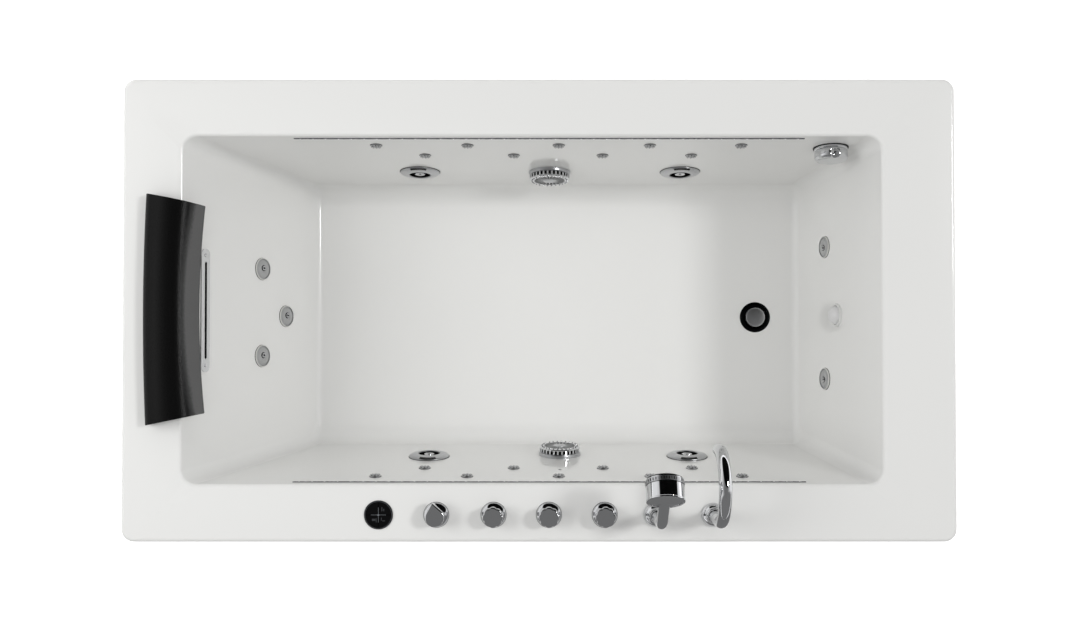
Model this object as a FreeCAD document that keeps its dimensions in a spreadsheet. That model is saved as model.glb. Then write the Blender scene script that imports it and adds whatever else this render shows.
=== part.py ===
# A drop-in jetted bath with its pump, blower, pipework and deck fittings, in millimetres.
# Frame: origin on the floor under the middle of the rim, +X towards the drain end (foot),
# +Y towards the side without controls, +Z up. The deck controls stand on the -Y rim.
import FreeCAD, Part
import math
import os
import re
import types

import Sketcher

os.makedirs("parts", exist_ok=True)
doc = FreeCAD.newDocument("JettedBathtub")

SIZES = {
    # the moulded tub
    "TubLength": 1800, "TubWidth": 1000, "RimHeight": 600,
    "HeadRim": 129, "FootRim": 160, "SideRim": 124,
    "BasinDepth": 450, "HeadRun": 210, "FootRun": 85, "SideRun": 56,
    "SkinThickness": 4, "BackingThickness": 5, "BondGap": 0.3,
    "LipDepth": 40, "RimCorner": 28, "EdgeRound": 9, "MouthRound": 8,
    "BasinCorner": 32, "SideCove": 55, "EndCrease": 20,
    # board, frame and feet
    "BoardThickness": 18, "BoardMargin": 30, "BoardClear": 12, "TubeSide": 40, "TubeWall": 2,
    "RailInset": 50, "RailEnd": 20, "BearerInset": 60, "BearerMiddle": -200, "BearerFoot": 430,
    "PostInset": 120, "PostHead": -480, "PostFoot": 470, "FootInset": 100,
    "TrayThickness": 12, "TrayInset": 30, "TrayLength": 280, "TraySide": 90,
    "PadRadius": 30, "PadEdge": 4, "PadHeight": 14, "StudRadius": 6, "NutAcross": 19, "NutHeight": 10,
    # hydro jets in the side walls
    "JetFarHead": -287, "JetFarFoot": 339, "JetNearHead": -262, "JetNearFoot": 352,
    "JetDepthFar": 290, "JetDepthNear": 270, "JetBarrel": 30, "JetBore": 27, "JetCup": 30,
    "JetHousing": 38, "JetLength": 55, "JetFace": 47.5, "JetFaceHeight": 9, "JetBall": 14,
    "JetBallDepth": 8, "JetNose": 12.5, "JetNoseReach": 7, "JetHole": 4.5,
    # small turning jets in the end walls
    "MiniFace": 26, "MiniEye": 22.7, "MiniBarrel": 19, "MiniBore": 15, "MiniLength": 35,
    "MiniHole": 3.5, "MiniHoleOffset": 12, "MiniEyeHeight": 6, "MiniSpread": 103, "MiniDepth": 247,
    "MiniLowDepth": 329, "MiniFootSpread": 158, "MiniFootDepth": 285,
    # air jets in two rows along each side wall
    "AirCap": 12.5, "AirBarrel": 5.7, "AirLength": 14, "AirPitch": 202.8, "AirMiddle": 43.5,
    "AirUpper": 72, "AirLower": 150,
    # suction fittings
    "SuctionFar": 25, "SuctionNear": 49, "SuctionDepth": 292, "SuctionCover": 50, "SuctionDome": 25,
    "SuctionBarrel": 33, "SuctionBore": 28,
    "SuctionHousing": 42, "SuctionLength": 60, "SuctionSlots": 16, "SlotWidth": 3,
    # drain, plug, waste and overflow
    "MidlineShift": -7, "DrainInset": 352, "DrainFlange": 38, "DrainTail": 28, "DrainBore": 25,
    "DrainLength": 60, "PlugRadius": 24, "PlugLift": 10, "PlugStem": 3, "BridgeDepth": 26,
    "BridgeHeight": 10, "TrapRadius": 48, "TrapHeight": 46, "SocketLength": 38, "SocketWall": 4,
    "WasteRadius": 20, "WasteWall": 2.5, "WasteReach": 170, "WasteHub": 24, "HubReach": 95,
    "OverflowInset": 247, "OverflowDepth": 92,
    "OverflowFlange": 37, "OverflowBarrel": 20, "OverflowTail": 16, "OverflowKnob": 33, "KnobReach": 40,
    "KnobSeat": 8, "DimpleRadius": 14, "DimpleOffset": 43, "OverflowPipe": 16, "CableRadius": 3,
    # waterfall, light and light strips
    "WaterfallDepth": 67, "WaterfallLength": 272, "WaterfallWidth": 26, "WaterfallSlot": 216,
    "SlotGap": 3, "LightDepth": 221, "LightRing": 27, "LensRadius": 22.5, "LightLength": 30,
    "StripDepth": 20, "StripLength": 1112, "StripMiddle": 22, "StripWidth": 4, "StripThickness": 1.5,
    # deck fittings along the near rim
    "DeckInset": 59, "KeypadX": -345, "AirKnobX": -221, "HotKnobX": -98, "ColdKnobX": 21,
    "DivertKnobX": 141, "ShowerX": 250, "SpoutX": 374, "KeypadRadius": 31, "KeypadCup": 28.5,
    "KeyField": 27.6, "KeyGap": 1.2, "KeyTravel": 1, "SkirtRadius": 27, "SkirtHeight": 14, "ValveRadius": 16,
    "ValveLength": 75, "KnobRadius": 18, "KnobHeight": 28, "LobeRadius": 5, "StemRadius": 4.5,
    "InletRadius": 10.5, "InletLength": 22, "PointerTurn": 100, "PointerRadius": 20, "PointerReach": 31,
    "SocketRadius": 17, "SocketDepth": 30,
    "SpoutTube": 13.5, "SpoutBore": 11, "SpoutRise": 95, "SpoutReach": 146, "SpoutDrop": 12,
    "HandleRadius": 12, "HandleRise": 135,
    "HeadRadius": 38.5, "HeadLength": 50, "HeadTilt": 26, "HeadForward": 78, "HeadLift": 195,
    # head rest
    "PillowLength": 496, "PillowInset": 55, "PillowDepth": 133, "PillowHeight": 50,
    # pump, blower, pipes and control box under the head end
    "PumpInset": 140, "PumpSide": 490, "PumpAxis": 206, "VoluteRadius": 62, "VoluteWidth": 56, "MotorRadius": 57,
    "MotorLength": 190, "MotorFoot": 110, "ImpellerRadius": 45, "ShaftRadius": 7, "PumpInlet": 23,
    "OutletOffset": 25,
    "OutletRise": 84, "InletNeck": 25, "FootPlate": 8, "BlowerInset": 170, "BlowerRadius": 70,
    "BlowerHeight": 92, "NeckOffset": -30, "NeckLength": 20, "FanRadius": 55, "PipeRadius": 15,
    "PipeWall": 2.5, "SuctionPipe": 21.5, "CrossPipe": 18, "AirPipe": 10, "AirPipeWall": 1.5, "BranchPipe": 8,
    "PressureLevel": 243, "CrossLevel": 320, "AirLineLevel": 392, "AirLineShift": 45, "RowOverrun": 30,
    "PressureInset": 138, "SuctionInset": 102, "AirInset": 117, "RiserRadius": 12, "DropRadius": 7,
    "BoxGap": 8, "BoxSide": 110, "BoxLength": 60, "BoxWidth": 180, "BoxHeight": 125, "BoxCorner": 6,
    "GlandBore": 6, "GlandLevel": 40, "GlandReach": 18,
    # clearances
    "RunningGap": 0.3, "HoleGap": 0.3,
}
sheet = doc.addObject("Spreadsheet::Sheet", "Sizes")
for row, (alias, number) in enumerate(SIZES.items(), 1):
    sheet.set("A%d" % row, alias)
    sheet.set("B%d" % row, str(number))
    sheet.setAlias("B%d" % row, alias)
doc.recompute()
S = types.SimpleNamespace(**{alias: sheet.get(alias) for alias in SIZES})

WALL = "(SkinThickness + BondGap + BackingThickness)"
wall_stack = S.SkinThickness + S.BondGap + S.BackingThickness
floor_top = S.RimHeight - S.BasinDepth
board_top = floor_top - wall_stack
frame_top = board_top - S.BoardThickness
frame_bottom = frame_top - S.TubeSide
tray_top = frame_top + S.TrayThickness
rail_line = S.TubWidth / 2 - S.RailInset
tray_start = S.TrayInset - S.TubLength / 2
pump_x = S.PumpInset - S.TubLength / 2
pump_y = S.PumpSide - S.TubWidth / 2
drain_x = S.TubLength / 2 - S.DrainInset
overflow_x = S.TubLength / 2 - S.OverflowInset
deck_line = S.DeckInset - S.TubWidth / 2
pressure_line = S.TubWidth / 2 - S.PressureInset
suction_line = S.TubWidth / 2 - S.SuctionInset
air_line = S.TubWidth / 2 - S.AirInset
nodes = []


def vector(x, y, z):
    return FreeCAD.Vector(x, y, z)


def at(x, y, z, turn=None):
    return FreeCAD.Placement(vector(x, y, z), turn or FreeCAD.Rotation())


def tied(text):
    """Write each size named in an expression as its cell of the sheet."""
    return re.sub(r"\b([A-Z]\w+)", r"Sizes.\1", str(text))


def tie(item, **sizes):
    for name, text in sizes.items():
        item.setExpression(name, tied(text))
    return item


def node(item):
    """Count an object among the pieces that are written out."""
    nodes.append(item)
    return item


def primitive(kind, name, spot=None, **sizes):
    item = doc.addObject("Part::" + kind, name)
    tie(item, **sizes)
    if spot:
        item.Placement = spot
    return item


def block(name, low, span):
    """A box from its low corner and its three lengths, all expressions."""
    item = doc.addObject("Part::Box", name)
    for place, text in zip("xyz", low):
        item.setExpression("Placement.Base." + place, tied(text))
    return tie(item, Length=span[0], Width=span[1], Height=span[2])


def joined(name, pieces, spot=None):
    item = doc.addObject("Part::MultiFuse", name)
    item.Shapes = pieces
    if spot:
        item.Placement = spot
    return item


def cut(name, base, tools, spot=None):
    item = doc.addObject("Part::Cut", name)
    item.Base = base
    item.Tool = tools[0] if len(tools) == 1 else joined(name + "_tools", tools)
    if spot:
        item.Placement = spot
    return item


def rounded(name, base, radius_of):
    """Round every edge for which radius_of(edge) gives a radius."""
    doc.recompute()
    item = doc.addObject("Part::Fillet", name)
    item.Base = base
    chosen = [(number, radius_of(edge)) for number, edge in enumerate(base.Shape.Edges, 1)]
    item.Edges = [(number, radius, radius) for number, radius in chosen if radius]
    return item


def rise_of(edge):
    ends = [vertex.Point.z for vertex in edge.Vertexes]
    return max(ends) - min(ends)


def upright_edges(radius):
    """Choose the edges that stand upright, for rounded()."""
    return lambda edge: radius if rise_of(edge) > 0.9 * edge.Length else 0


def outline_sketch(body, name, role, outline):
    """A closed outline whose corners are each tied to a pair of expressions."""
    sketch = body.newObject("Sketcher::SketchObject", name)
    plane = [feature for feature in body.Origin.OriginFeatures if feature.Role == role][0]
    sketch.AttachmentSupport = (plane, [""])
    sketch.MapMode = "FlatFace"
    count = len(outline)
    start = [vector(math.cos(math.tau * i / count), math.sin(math.tau * i / count), 0) for i in range(count)]
    for i in range(count):
        sketch.addGeometry(Part.LineSegment(start[i], start[(i + 1) % count]))
    for i, (across, up) in enumerate(outline):
        sketch.addConstraint(Sketcher.Constraint("Coincident", i, 2, (i + 1) % count, 1))
        for kind, text in (("DistanceX", across), ("DistanceY", up)):
            number = sketch.addConstraint(Sketcher.Constraint(kind, -1, 1, i, 1, 1.0))
            sketch.setExpression("Constraints[%d]" % number, tied(text))
    return sketch


def turned(name, outline, spot=None):
    """A piece turned about its own Z axis from an outline of (radius, height) expressions."""
    body = doc.addObject("PartDesign::Body", name)
    sketch = outline_sketch(body, name + "_outline", "XZ_Plane", outline)
    turn = body.newObject("PartDesign::Revolution", name + "_turn")
    turn.Profile = sketch
    turn.ReferenceAxis = (sketch, ["V_Axis"])
    turn.Angle = 360
    if spot:
        body.Placement = spot
    return body


def padded(name, outline, height, spot=None):
    """A flat piece of even height over an outline of (x, y) expressions."""
    body = doc.addObject("PartDesign::Body", name)
    sketch = outline_sketch(body, name + "_outline", "XY_Plane", outline)
    pad = body.newObject("PartDesign::Pad", name + "_pad")
    pad.Profile = sketch
    tie(pad, Length=height)
    if spot:
        body.Placement = spot
    return body


def copies(name, pattern, spots):
    """Links to one piece, one at each placement."""
    links = []
    for number, spot in enumerate(spots, 1):
        link = doc.addObject("App::Link", "%s_copy_%d" % (name, number))
        link.LinkedObject = pattern
        link.Placement = spot
        links.append(link)
    return links


def bundle(name, pieces):
    """Separate solids under one name."""
    item = doc.addObject("Part::Compound", name)
    item.Links = pieces
    return node(item)


def group(name, pattern, spots):
    return bundle(name, copies(name, pattern, spots))


def bent_path(points, bend=None):
    """Straight runs through the points, joined by tangent arcs, of one radius or as large as fits."""
    points = [vector(*point) for point in points]
    edges = []
    start = points[0]
    for before, corner, after in zip(points, points[1:], points[2:]):
        back = (before - corner).normalize()
        ahead = (after - corner).normalize()
        half_turn = (math.pi - back.getAngle(ahead)) / 2
        run = min((before - corner).Length, (after - corner).Length)
        radius = bend or 0.45 * run / math.tan(half_turn)
        setback = radius * math.tan(half_turn)
        arc_start = corner + back * setback
        arc_end = corner + ahead * setback
        bisector = (back + ahead).normalize()
        arc_middle = corner + bisector * (radius / math.cos(half_turn) - radius)
        edges.append(Part.LineSegment(start, arc_start).toShape())
        edges.append(Part.Arc(arc_start, arc_middle, arc_end).toShape())
        start = arc_end
    edges.append(Part.LineSegment(start, points[-1]).toShape())
    return Part.Wire(edges)


def rod(points, radius, bend=None):
    """A round rod along a bent path."""
    path = bent_path(points, bend)
    heading = vector(*points[1]) - vector(*points[0])
    ring = Part.Wire(Part.Circle(vector(*points[0]), heading, radius).toShape())
    return path.makePipeShell([ring], True, False)


def pipework(name, runs, wall, bend, extra=(), bores=()):
    """Pipes along several runs of (points, radius), fused and bored through as one piece."""
    outer = [rod(points, radius, bend) for points, radius in runs] + list(extra)
    inner = [rod(points, radius - wall, bend) for points, radius in runs] + list(bores)
    item = doc.addObject("Part::Feature", name)
    item.Shape = outer[0].multiFuse(outer[1:]).cut(inner).removeSplitter()
    return node(item)


# Walls of the basin: the heading of each inward direction, how far the wall's top edge lies
# from the origin, and how far the wall leans in from its top to the floor.
mouth_head = S.TubLength / 2 - S.HeadRim
mouth_foot = S.TubLength / 2 - S.FootRim
mouth_side = S.TubWidth / 2 - S.SideRim
WALLS = {
    "far": (-90, mouth_side, S.SideRun),
    "near": (90, mouth_side, S.SideRun),
    "head": (0, mouth_head, S.HeadRun),
    "foot": (180, mouth_foot, S.FootRun),
}


def on_wall(side, along, depth):
    """Placement on a basin wall: local Z points into the bath and local Y up the wall."""
    heading, reach, run = WALLS[side]
    lean = math.atan2(run, S.BasinDepth)
    inward = vector(math.cos(math.radians(heading)), math.sin(math.radians(heading)), 0)
    normal = inward * math.cos(lean) + vector(0, 0, math.sin(lean))
    upward = vector(0, 0, math.cos(lean)) - inward * math.sin(lean)
    across = upward.cross(normal)
    spot = inward * (depth * math.tan(lean) - reach) + vector(0, 0, S.RimHeight - depth)
    spot += vector(abs(across.x), abs(across.y), 0) * along
    return FreeCAD.Placement(spot, FreeCAD.Rotation(across, upward, normal, "ZXY"))


def on_deck(x):
    return at(x, deck_line, S.RimHeight)


# Where each wall fitting sits.
JETS = [on_wall("far", S.JetFarHead, S.JetDepthFar), on_wall("far", S.JetFarFoot, S.JetDepthFar),
        on_wall("near", S.JetNearHead, S.JetDepthNear), on_wall("near", S.JetNearFoot, S.JetDepthNear)]
MINIS = [on_wall("head", S.MiniSpread, S.MiniDepth), on_wall("head", S.MidlineShift, S.MiniLowDepth),
         on_wall("head", -S.MiniSpread, S.MiniDepth), on_wall("foot", S.MiniFootSpread, S.MiniFootDepth),
         on_wall("foot", -S.MiniFootSpread, S.MiniFootDepth)]
SUCTIONS = [on_wall("far", S.SuctionFar, S.SuctionDepth), on_wall("near", S.SuctionNear, S.SuctionDepth)]
AIRS = [on_wall(side, S.AirMiddle + step * S.AirPitch, S.AirUpper)
        for side in ("far", "near") for step in (-2, -1, 0, 1, 2)]
AIRS += [on_wall(side, S.AirMiddle + step * S.AirPitch, S.AirLower)
         for side in ("far", "near") for step in (-1.5, -0.5, 0.5, 1.5)]
LIGHT = on_wall("foot", S.MidlineShift, S.LightDepth)
OVERFLOW = on_wall("far", overflow_x, S.OverflowDepth)
WATERFALL = on_wall("head", 0, S.WaterfallDepth)
DRAIN = at(drain_x, S.MidlineShift, floor_top)
KEYPAD = on_deck(S.KeypadX)
VALVES = [on_deck(x) for x in (S.AirKnobX, S.HotKnobX, S.ColdKnobX, S.DivertKnobX)]
SHOWER = on_deck(S.ShowerX)
SPOUT = on_deck(S.SpoutX)


# The tub: a vacuum-formed acrylic skin with a flat rim, a turned-down lip and a basin that
# narrows downwards. The same wedge, grown by a wall, gives each of its faces.
def basin(name, grow, drop):
    """The basin's space grown by a distance all round, with its top a drop below the rim."""
    lean = {side: "(%s / BasinDepth)" % side for side in ("HeadRun", "FootRun", "SideRun")}

    def edge(mouth, run, depth):
        return "(%s - (%s) * %s + (%s) * sqrt(1 + %s ^ 2))" % (mouth, depth, lean[run], grow, lean[run])

    head = ("TubLength / 2 - HeadRim", "HeadRun")
    foot = ("TubLength / 2 - FootRim", "FootRun")
    side = ("TubWidth / 2 - SideRim", "SideRun")
    low = "BasinDepth + " + grow
    wedge = primitive(
        "Wedge", name + "_wedge", at(0, 0, 0, FreeCAD.Rotation(vector(1, 0, 0), 90)),
        Ymin="RimHeight - BasinDepth - (%s)" % grow, Ymax="RimHeight - (%s)" % drop,
        Xmin="-" + edge(*head, low), Xmax=edge(*foot, low),
        Zmin="-" + edge(*side, low), Zmax=edge(*side, low),
        X2min="-" + edge(*head, drop), X2max=edge(*foot, drop),
        Z2min="-" + edge(*side, drop), Z2max=edge(*side, drop))
    doc.recompute()
    grown = floor_top - wedge.Ymin.Value

    def radius(line):
        if rise_of(line) > S.BasinDepth / 2:
            return S.BasinCorner + grown
        if line.BoundBox.ZMax > floor_top + 1:
            return 0
        return (S.SideCove if line.BoundBox.YLength < 1 else S.EndCrease) + grown

    return rounded(name, wedge, radius)


def rim_tray(name, inset, drop, deep, corner, top_round):
    """A block as large as the rim less an inset, whose top lies a drop below the rim."""
    slab = block(name + "_block", ("(%s) - TubLength / 2" % inset, "(%s) - TubWidth / 2" % inset,
                                   "RimHeight - (%s) - (%s)" % (drop, deep)),
                 ("TubLength - 2 * (%s)" % inset, "TubWidth - 2 * (%s)" % inset, deep))
    doc.recompute()
    top = slab.Shape.BoundBox.ZMax

    def radius(line):
        if rise_of(line) > 1:
            return corner
        return top_round if line.BoundBox.ZMin > top - 1 else 0

    return rounded(name, slab, radius)


HOLE_REACH = 60
holes = [primitive("Cylinder", "hole", spot.multiply(at(0, 0, -HOLE_REACH)), Radius=radius + " + HoleGap",
                   Height=HOLE_REACH + 20)
         for spots, radius in ((JETS, "JetBarrel"), (MINIS, "MiniBarrel"), (AIRS, "AirBarrel"),
                               (SUCTIONS, "SuctionBarrel"), ([LIGHT], "MiniBarrel"),
                               ([OVERFLOW], "OverflowBarrel"), ([DRAIN], "DrainTail"),
                               ([KEYPAD], "KeypadCup"), (VALVES, "ValveRadius"),
                               ([SHOWER, SPOUT], "SocketRadius"))
         for spot in spots]
throat_hole = block("throat_hole", ("-WaterfallSlot / 2 - 6 - HoleGap", "-8 - HoleGap", -60),
                    ("WaterfallSlot + 12 + 2 * HoleGap", "16 + 2 * HoleGap", 80))
holes.append(joined("throat_hole_placed", [throat_hole, block("throat_core", (-1, -1, -50), (2, 2, 60))],
                    WATERFALL))
all_holes = joined("all_holes", holes)

solid_rim = rim_tray("solid_rim", "0", "0", "LipDepth", S.RimCorner, S.EdgeRound)
rim_hollow = rim_tray("rim_hollow", "SkinThickness", "SkinThickness", "LipDepth",
                      S.RimCorner - S.SkinThickness, max(S.EdgeRound - S.SkinThickness, 1))
basin_space = basin("basin_space", "0", "0")
skin_block = joined("skin_block", [cut("lipped_rim", solid_rim, [rim_hollow]),
                                   basin("basin_outside", "SkinThickness", "0")])
skin_sharp = cut("skin_sharp", skin_block, [basin_space])
doc.recompute()


def mouth_edge(line):
    box = line.BoundBox
    inside_x = abs(box.XMin) < S.TubLength / 2 - S.EdgeRound - 1
    inside_y = abs(box.YMin) < S.TubWidth / 2 - S.EdgeRound - 1
    return S.MouthRound if box.ZMin > S.RimHeight - 0.1 and inside_x and inside_y else 0


skin = rounded("skin", skin_sharp, mouth_edge)
node(cut("tub_shell", skin, [all_holes]))

# Glass-fibre laid up behind the acrylic, under the rim and round the basin.
LINING = "SkinThickness + BondGap"
under_rim = rim_tray("under_rim", LINING, LINING, "BackingThickness",
                     S.RimCorner - S.SkinThickness - S.BondGap,
                     max(S.EdgeRound - S.SkinThickness - S.BondGap, 1))
laid_outside = basin("backing_outside", LINING + " + BackingThickness", LINING)
laid_block = joined("laid_block", [under_rim, laid_outside])
laid = cut("laid", laid_block, [basin("backing_inside", LINING, LINING)])
node(cut("fibreglass_backing", laid, [all_holes]))

# Plywood board glassed under the floor.
board = block("board_blank", ("HeadRim + HeadRun - TubLength / 2 + BoardMargin",
                              "SideRim + SideRun - TubWidth / 2 + BoardMargin",
                              "RimHeight - BasinDepth - %s - BoardThickness" % WALL),
              ("TubLength - HeadRim - HeadRun - FootRim - FootRun - 2 * BoardMargin",
               "TubWidth - 2 * (SideRim + SideRun + BoardMargin)", "BoardThickness"))
drain_clear = primitive("Cylinder", "drain_clear", at(drain_x, S.MidlineShift, frame_bottom),
                        Radius="DrainTail + BoardClear", Height=frame_top)
node(cut("base_board", board, [drain_clear]))


# Welded steel frame: square tubes as rails, cross bearers and uprights.
def square_tube(name, length, spot):
    """A square tube along its own Z axis, centred on it."""
    outer = block(name + "_outer", ("-TubeSide / 2", "-TubeSide / 2", 0), ("TubeSide", "TubeSide", length))
    inner = block(name + "_inner", ("TubeWall - TubeSide / 2", "TubeWall - TubeSide / 2", 0),
                  ("TubeSide - 2 * TubeWall", "TubeSide - 2 * TubeWall", length))
    return cut(name, outer, [inner], spot)


half_length = S.TubLength / 2
BEARER_SPOTS = [S.BearerInset - half_length, tray_start + S.TrayLength - S.TubeSide / 2, S.BearerMiddle,
                half_length - S.BearerFoot, half_length - S.BearerInset]
POST_SPOTS = [S.PostInset - half_length, S.PostHead, S.PostFoot, half_length - S.PostInset]
along_x = FreeCAD.Rotation(vector(0, 1, 0), 90)
along_y = FreeCAD.Rotation(vector(1, 0, 0), -90)
tube_axis = frame_top - S.TubeSide / 2
rails = [square_tube("rail_%d" % number, "TubLength - 2 * RailEnd",
                     at(S.RailEnd - half_length, side * rail_line, tube_axis, along_x))
         for number, side in enumerate((-1, 1), 1)]
bearers = [square_tube("bearer_%d" % number, "TubWidth - 2 * RailInset - TubeSide",
                       at(x, S.TubeSide / 2 - rail_line, tube_axis, along_y))
           for number, x in enumerate(BEARER_SPOTS, 1)]
posts = [square_tube("post_%d_%d" % (number, side), "BasinDepth + BoardThickness",
                     at(x, side * rail_line, frame_top))
         for number, x in enumerate(POST_SPOTS, 1) for side in (-1, 1)]
bundle("base_frame", rails + bearers + posts)
node(block("equipment_tray", ("TrayInset - TubLength / 2", "TraySide - TubWidth / 2", frame_top),
           ("TrayLength", "TubWidth - 2 * TraySide", "TrayThickness")))

# Levelling feet: a moulded pad on a threaded stud, locked by a nut under the rail.
foot = turned("foot_pattern", [
    (0, 0), ("PadRadius", 0), ("PadRadius", "PadEdge"), ("2 * StudRadius", "PadHeight"),
    ("StudRadius", "PadHeight"), ("StudRadius", frame_bottom), (0, frame_bottom)])
FEET = [at(x, side * rail_line, 0)
        for x in (S.FootInset - half_length, 0, half_length - S.FootInset) for side in (-1, 1)]
nut_blank = primitive("Prism", "nut_blank", at(0, 0, frame_bottom - S.NutHeight), Polygon=6,
                      Circumradius="NutAcross / sqrt(3)", Height="NutHeight")
nut_bore = primitive("Cylinder", "nut_bore", at(0, 0, frame_bottom - 2 * S.NutHeight), Radius="StudRadius",
                     Height="3 * NutHeight")
nut = cut("nut_pattern", nut_blank, [nut_bore])
bundle("levelling_feet", copies("foot", foot, FEET) + copies("lock_nut", nut, FEET))

# Hydro jets: a housing behind the wall, a turning face ring and a ball nozzle in its collar.
jet_body = turned("jet_body_pattern", [
    ("JetBore", 0), ("JetBarrel", 0), ("JetBarrel", "-" + WALL), ("JetHousing", "-" + WALL),
    ("JetHousing", "-%s - JetLength" % WALL), (0, "-%s - JetLength" % WALL),
    (0, "4 - %s - JetLength" % WALL), (8, "4 - %s - JetLength" % WALL), (8, "-JetCup"),
    ("JetBore", "-JetCup")])
group("jet_bodies", jet_body, JETS)
jet_ring = turned("jet_ring_pattern", [
    ("JetBore - RunningGap - 2", "JetFaceHeight - 3"), ("JetBore + 3", "JetFaceHeight"),
    ("JetFace - 8", "JetFaceHeight - 1"), ("JetFace - 1", 4), ("JetFace", 2), ("JetFace", "RunningGap"),
    ("JetBore - RunningGap", "RunningGap"), ("JetBore - RunningGap", "RunningGap - JetCup"),
    (8, "RunningGap - JetCup"), (8, "3 - JetCup"), ("JetBall + RunningGap", "3 - JetCup"),
    ("JetBall + RunningGap", "-JetBallDepth + 6"), ("JetBall + 3", "-JetBallDepth + 6"),
    ("JetBall + 3", "3 - JetCup"), ("JetBore - RunningGap - 2", "3 - JetCup")])
ball = primitive("Sphere", "nozzle_ball", at(0, 0, 0), Radius="JetBall")
nose = primitive("Cylinder", "nozzle_nose", at(0, 0, 0), Radius="JetNose",
                 Height="JetBallDepth + JetNoseReach")
nozzle_bore = primitive("Cylinder", "nozzle_bore", at(0, 0, -2 * S.JetBall), Radius="JetHole",
                        Height="6 * JetBall")
nozzle = cut("nozzle_pattern", joined("nozzle_blank", [ball, nose]), [nozzle_bore])
for number, spot in enumerate(JETS, 1):
    group("jet_ring_%d" % number, jet_ring, [spot])
    group("jet_nozzle_%d" % number, nozzle, [spot.multiply(at(0, 0, -S.JetBallDepth))])

# Small end-wall jets: a flanged housing and a turning eye with an off-centre outlet.
mini_body = turned("mini_body_pattern", [
    ("MiniEye + RunningGap", 1), ("MiniEye + RunningGap", 4), ("MiniFace - 1", 4), ("MiniFace", 3),
    ("MiniFace", 0), ("MiniBarrel", 0), ("MiniBarrel", "-%s - MiniLength" % WALL),
    (0, "-%s - MiniLength" % WALL), (0, "4 - %s - MiniLength" % WALL),
    ("MiniBore", "4 - %s - MiniLength" % WALL), ("MiniBore", 1)])
group("mini_jet_bodies", mini_body, MINIS)
eye_blank = turned("eye_blank", [
    (0, "MiniEyeHeight"), ("MiniEye - 5", "MiniEyeHeight"), ("MiniEye", "MiniEyeHeight - 2"),
    ("MiniEye", "1 + RunningGap"), (6, "1 + RunningGap"), (6, -8), (0, -8)])
eye = cut("eye_pattern", eye_blank, [primitive("Cylinder", "eye_hole", at(S.MiniHoleOffset, 0, -2),
                                               Radius="MiniHole", Height="MiniEyeHeight + 4")])
for number, spot in enumerate(MINIS, 1):
    group("mini_jet_eye_%d" % number, eye, [spot])

air_jet = turned("air_jet_pattern", [
    (0, 5), (6, 5), ("AirCap - 2", 3.4), ("AirCap", 0.8), ("AirCap", 0), ("AirBarrel", 0),
    ("AirBarrel", "-%s - AirLength" % WALL), (0, "-%s - AirLength" % WALL)])
group("air_jets", air_jet, AIRS)

# Suction fittings: a cup behind the wall under a slotted dome.
suction_body = turned("suction_body_pattern", [
    ("SuctionBore", 0), ("SuctionBarrel", 0), ("SuctionBarrel", "-" + WALL), ("SuctionHousing", "-" + WALL),
    ("SuctionHousing", "-%s - SuctionLength" % WALL), (0, "-%s - SuctionLength" % WALL),
    (0, "4 - %s - SuctionLength" % WALL), ("SuctionBore", "4 - %s - SuctionLength" % WALL)])
group("suction_bodies", suction_body, SUCTIONS)
dome = turned("dome_blank", [
    (0, "SuctionDome"), ("0.5 * SuctionCover", "0.92 * SuctionDome"),
    ("0.8 * SuctionCover", "0.7 * SuctionDome"), ("0.95 * SuctionCover", "0.4 * SuctionDome"),
    ("SuctionCover", 3), ("SuctionCover", 0),
    ("SuctionBore - 0.5", 0), ("SuctionBore - 0.5", -8), ("SuctionBore - 3.5", -8), ("SuctionBore - 3.5", 3),
    ("0.9 * SuctionCover", 3), ("0.74 * SuctionCover", "0.7 * SuctionDome - 3"),
    ("0.48 * SuctionCover", "0.92 * SuctionDome - 3"), (0, "SuctionDome - 3")])
slots = []
for step in range(int(S.SuctionSlots)):
    turn = FreeCAD.Placement(vector(0, 0, 0), FreeCAD.Rotation(vector(0, 0, 1), 360 * step / S.SuctionSlots))
    slot = primitive("Box", "dome_slot", turn.multiply(at(0.34 * S.SuctionCover, -S.SlotWidth / 2, 6)),
                     Length="0.56 * SuctionCover", Width="SlotWidth", Height="SuctionDome")
    slots.append(slot)
group("suction_covers", cut("dome_pattern", dome, slots), SUCTIONS)

# Drain: a flanged tail through floor and board, with a bridge that guides the plug's stem.
drain_shell = turned("drain_shell", [
    ("DrainBore", -2), ("DrainBore + 3", 2.5), ("DrainFlange - 2", 2.5), ("DrainFlange", 0), ("DrainTail", 0),
    ("DrainTail", "-DrainLength"), ("DrainBore", "-DrainLength")])
bridge = block("bridge", ("-DrainBore - 0.5", "-PlugStem", "-BridgeDepth"),
               ("2 * DrainBore + 1", "2 * PlugStem", "BridgeHeight"))
hub = primitive("Cylinder", "hub", at(0, 0, -S.BridgeDepth), Radius="PlugStem + 5", Height="BridgeHeight")
stem_bore = primitive("Cylinder", "stem_bore", at(0, 0, -2 * S.BridgeDepth), Radius="PlugStem + 0.1",
                      Height="2 * BridgeDepth")
node(cut("drain_flange", joined("drain_blank", [drain_shell, bridge, hub]), [stem_bore], DRAIN))
node(turned("drain_plug", [
    (0, "PlugLift"), (10, "PlugLift - 0.4"), ("PlugRadius - 4", "PlugLift - 2"),
    ("PlugRadius", "PlugLift - 4.5"), ("PlugRadius", "PlugLift - 6"), ("PlugRadius - 3", "PlugLift - 8"),
    ("PlugStem", "PlugLift - 8"),
    ("PlugStem", "-BridgeDepth - PlugLift"), (0, "-BridgeDepth - PlugLift")], DRAIN))

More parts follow.
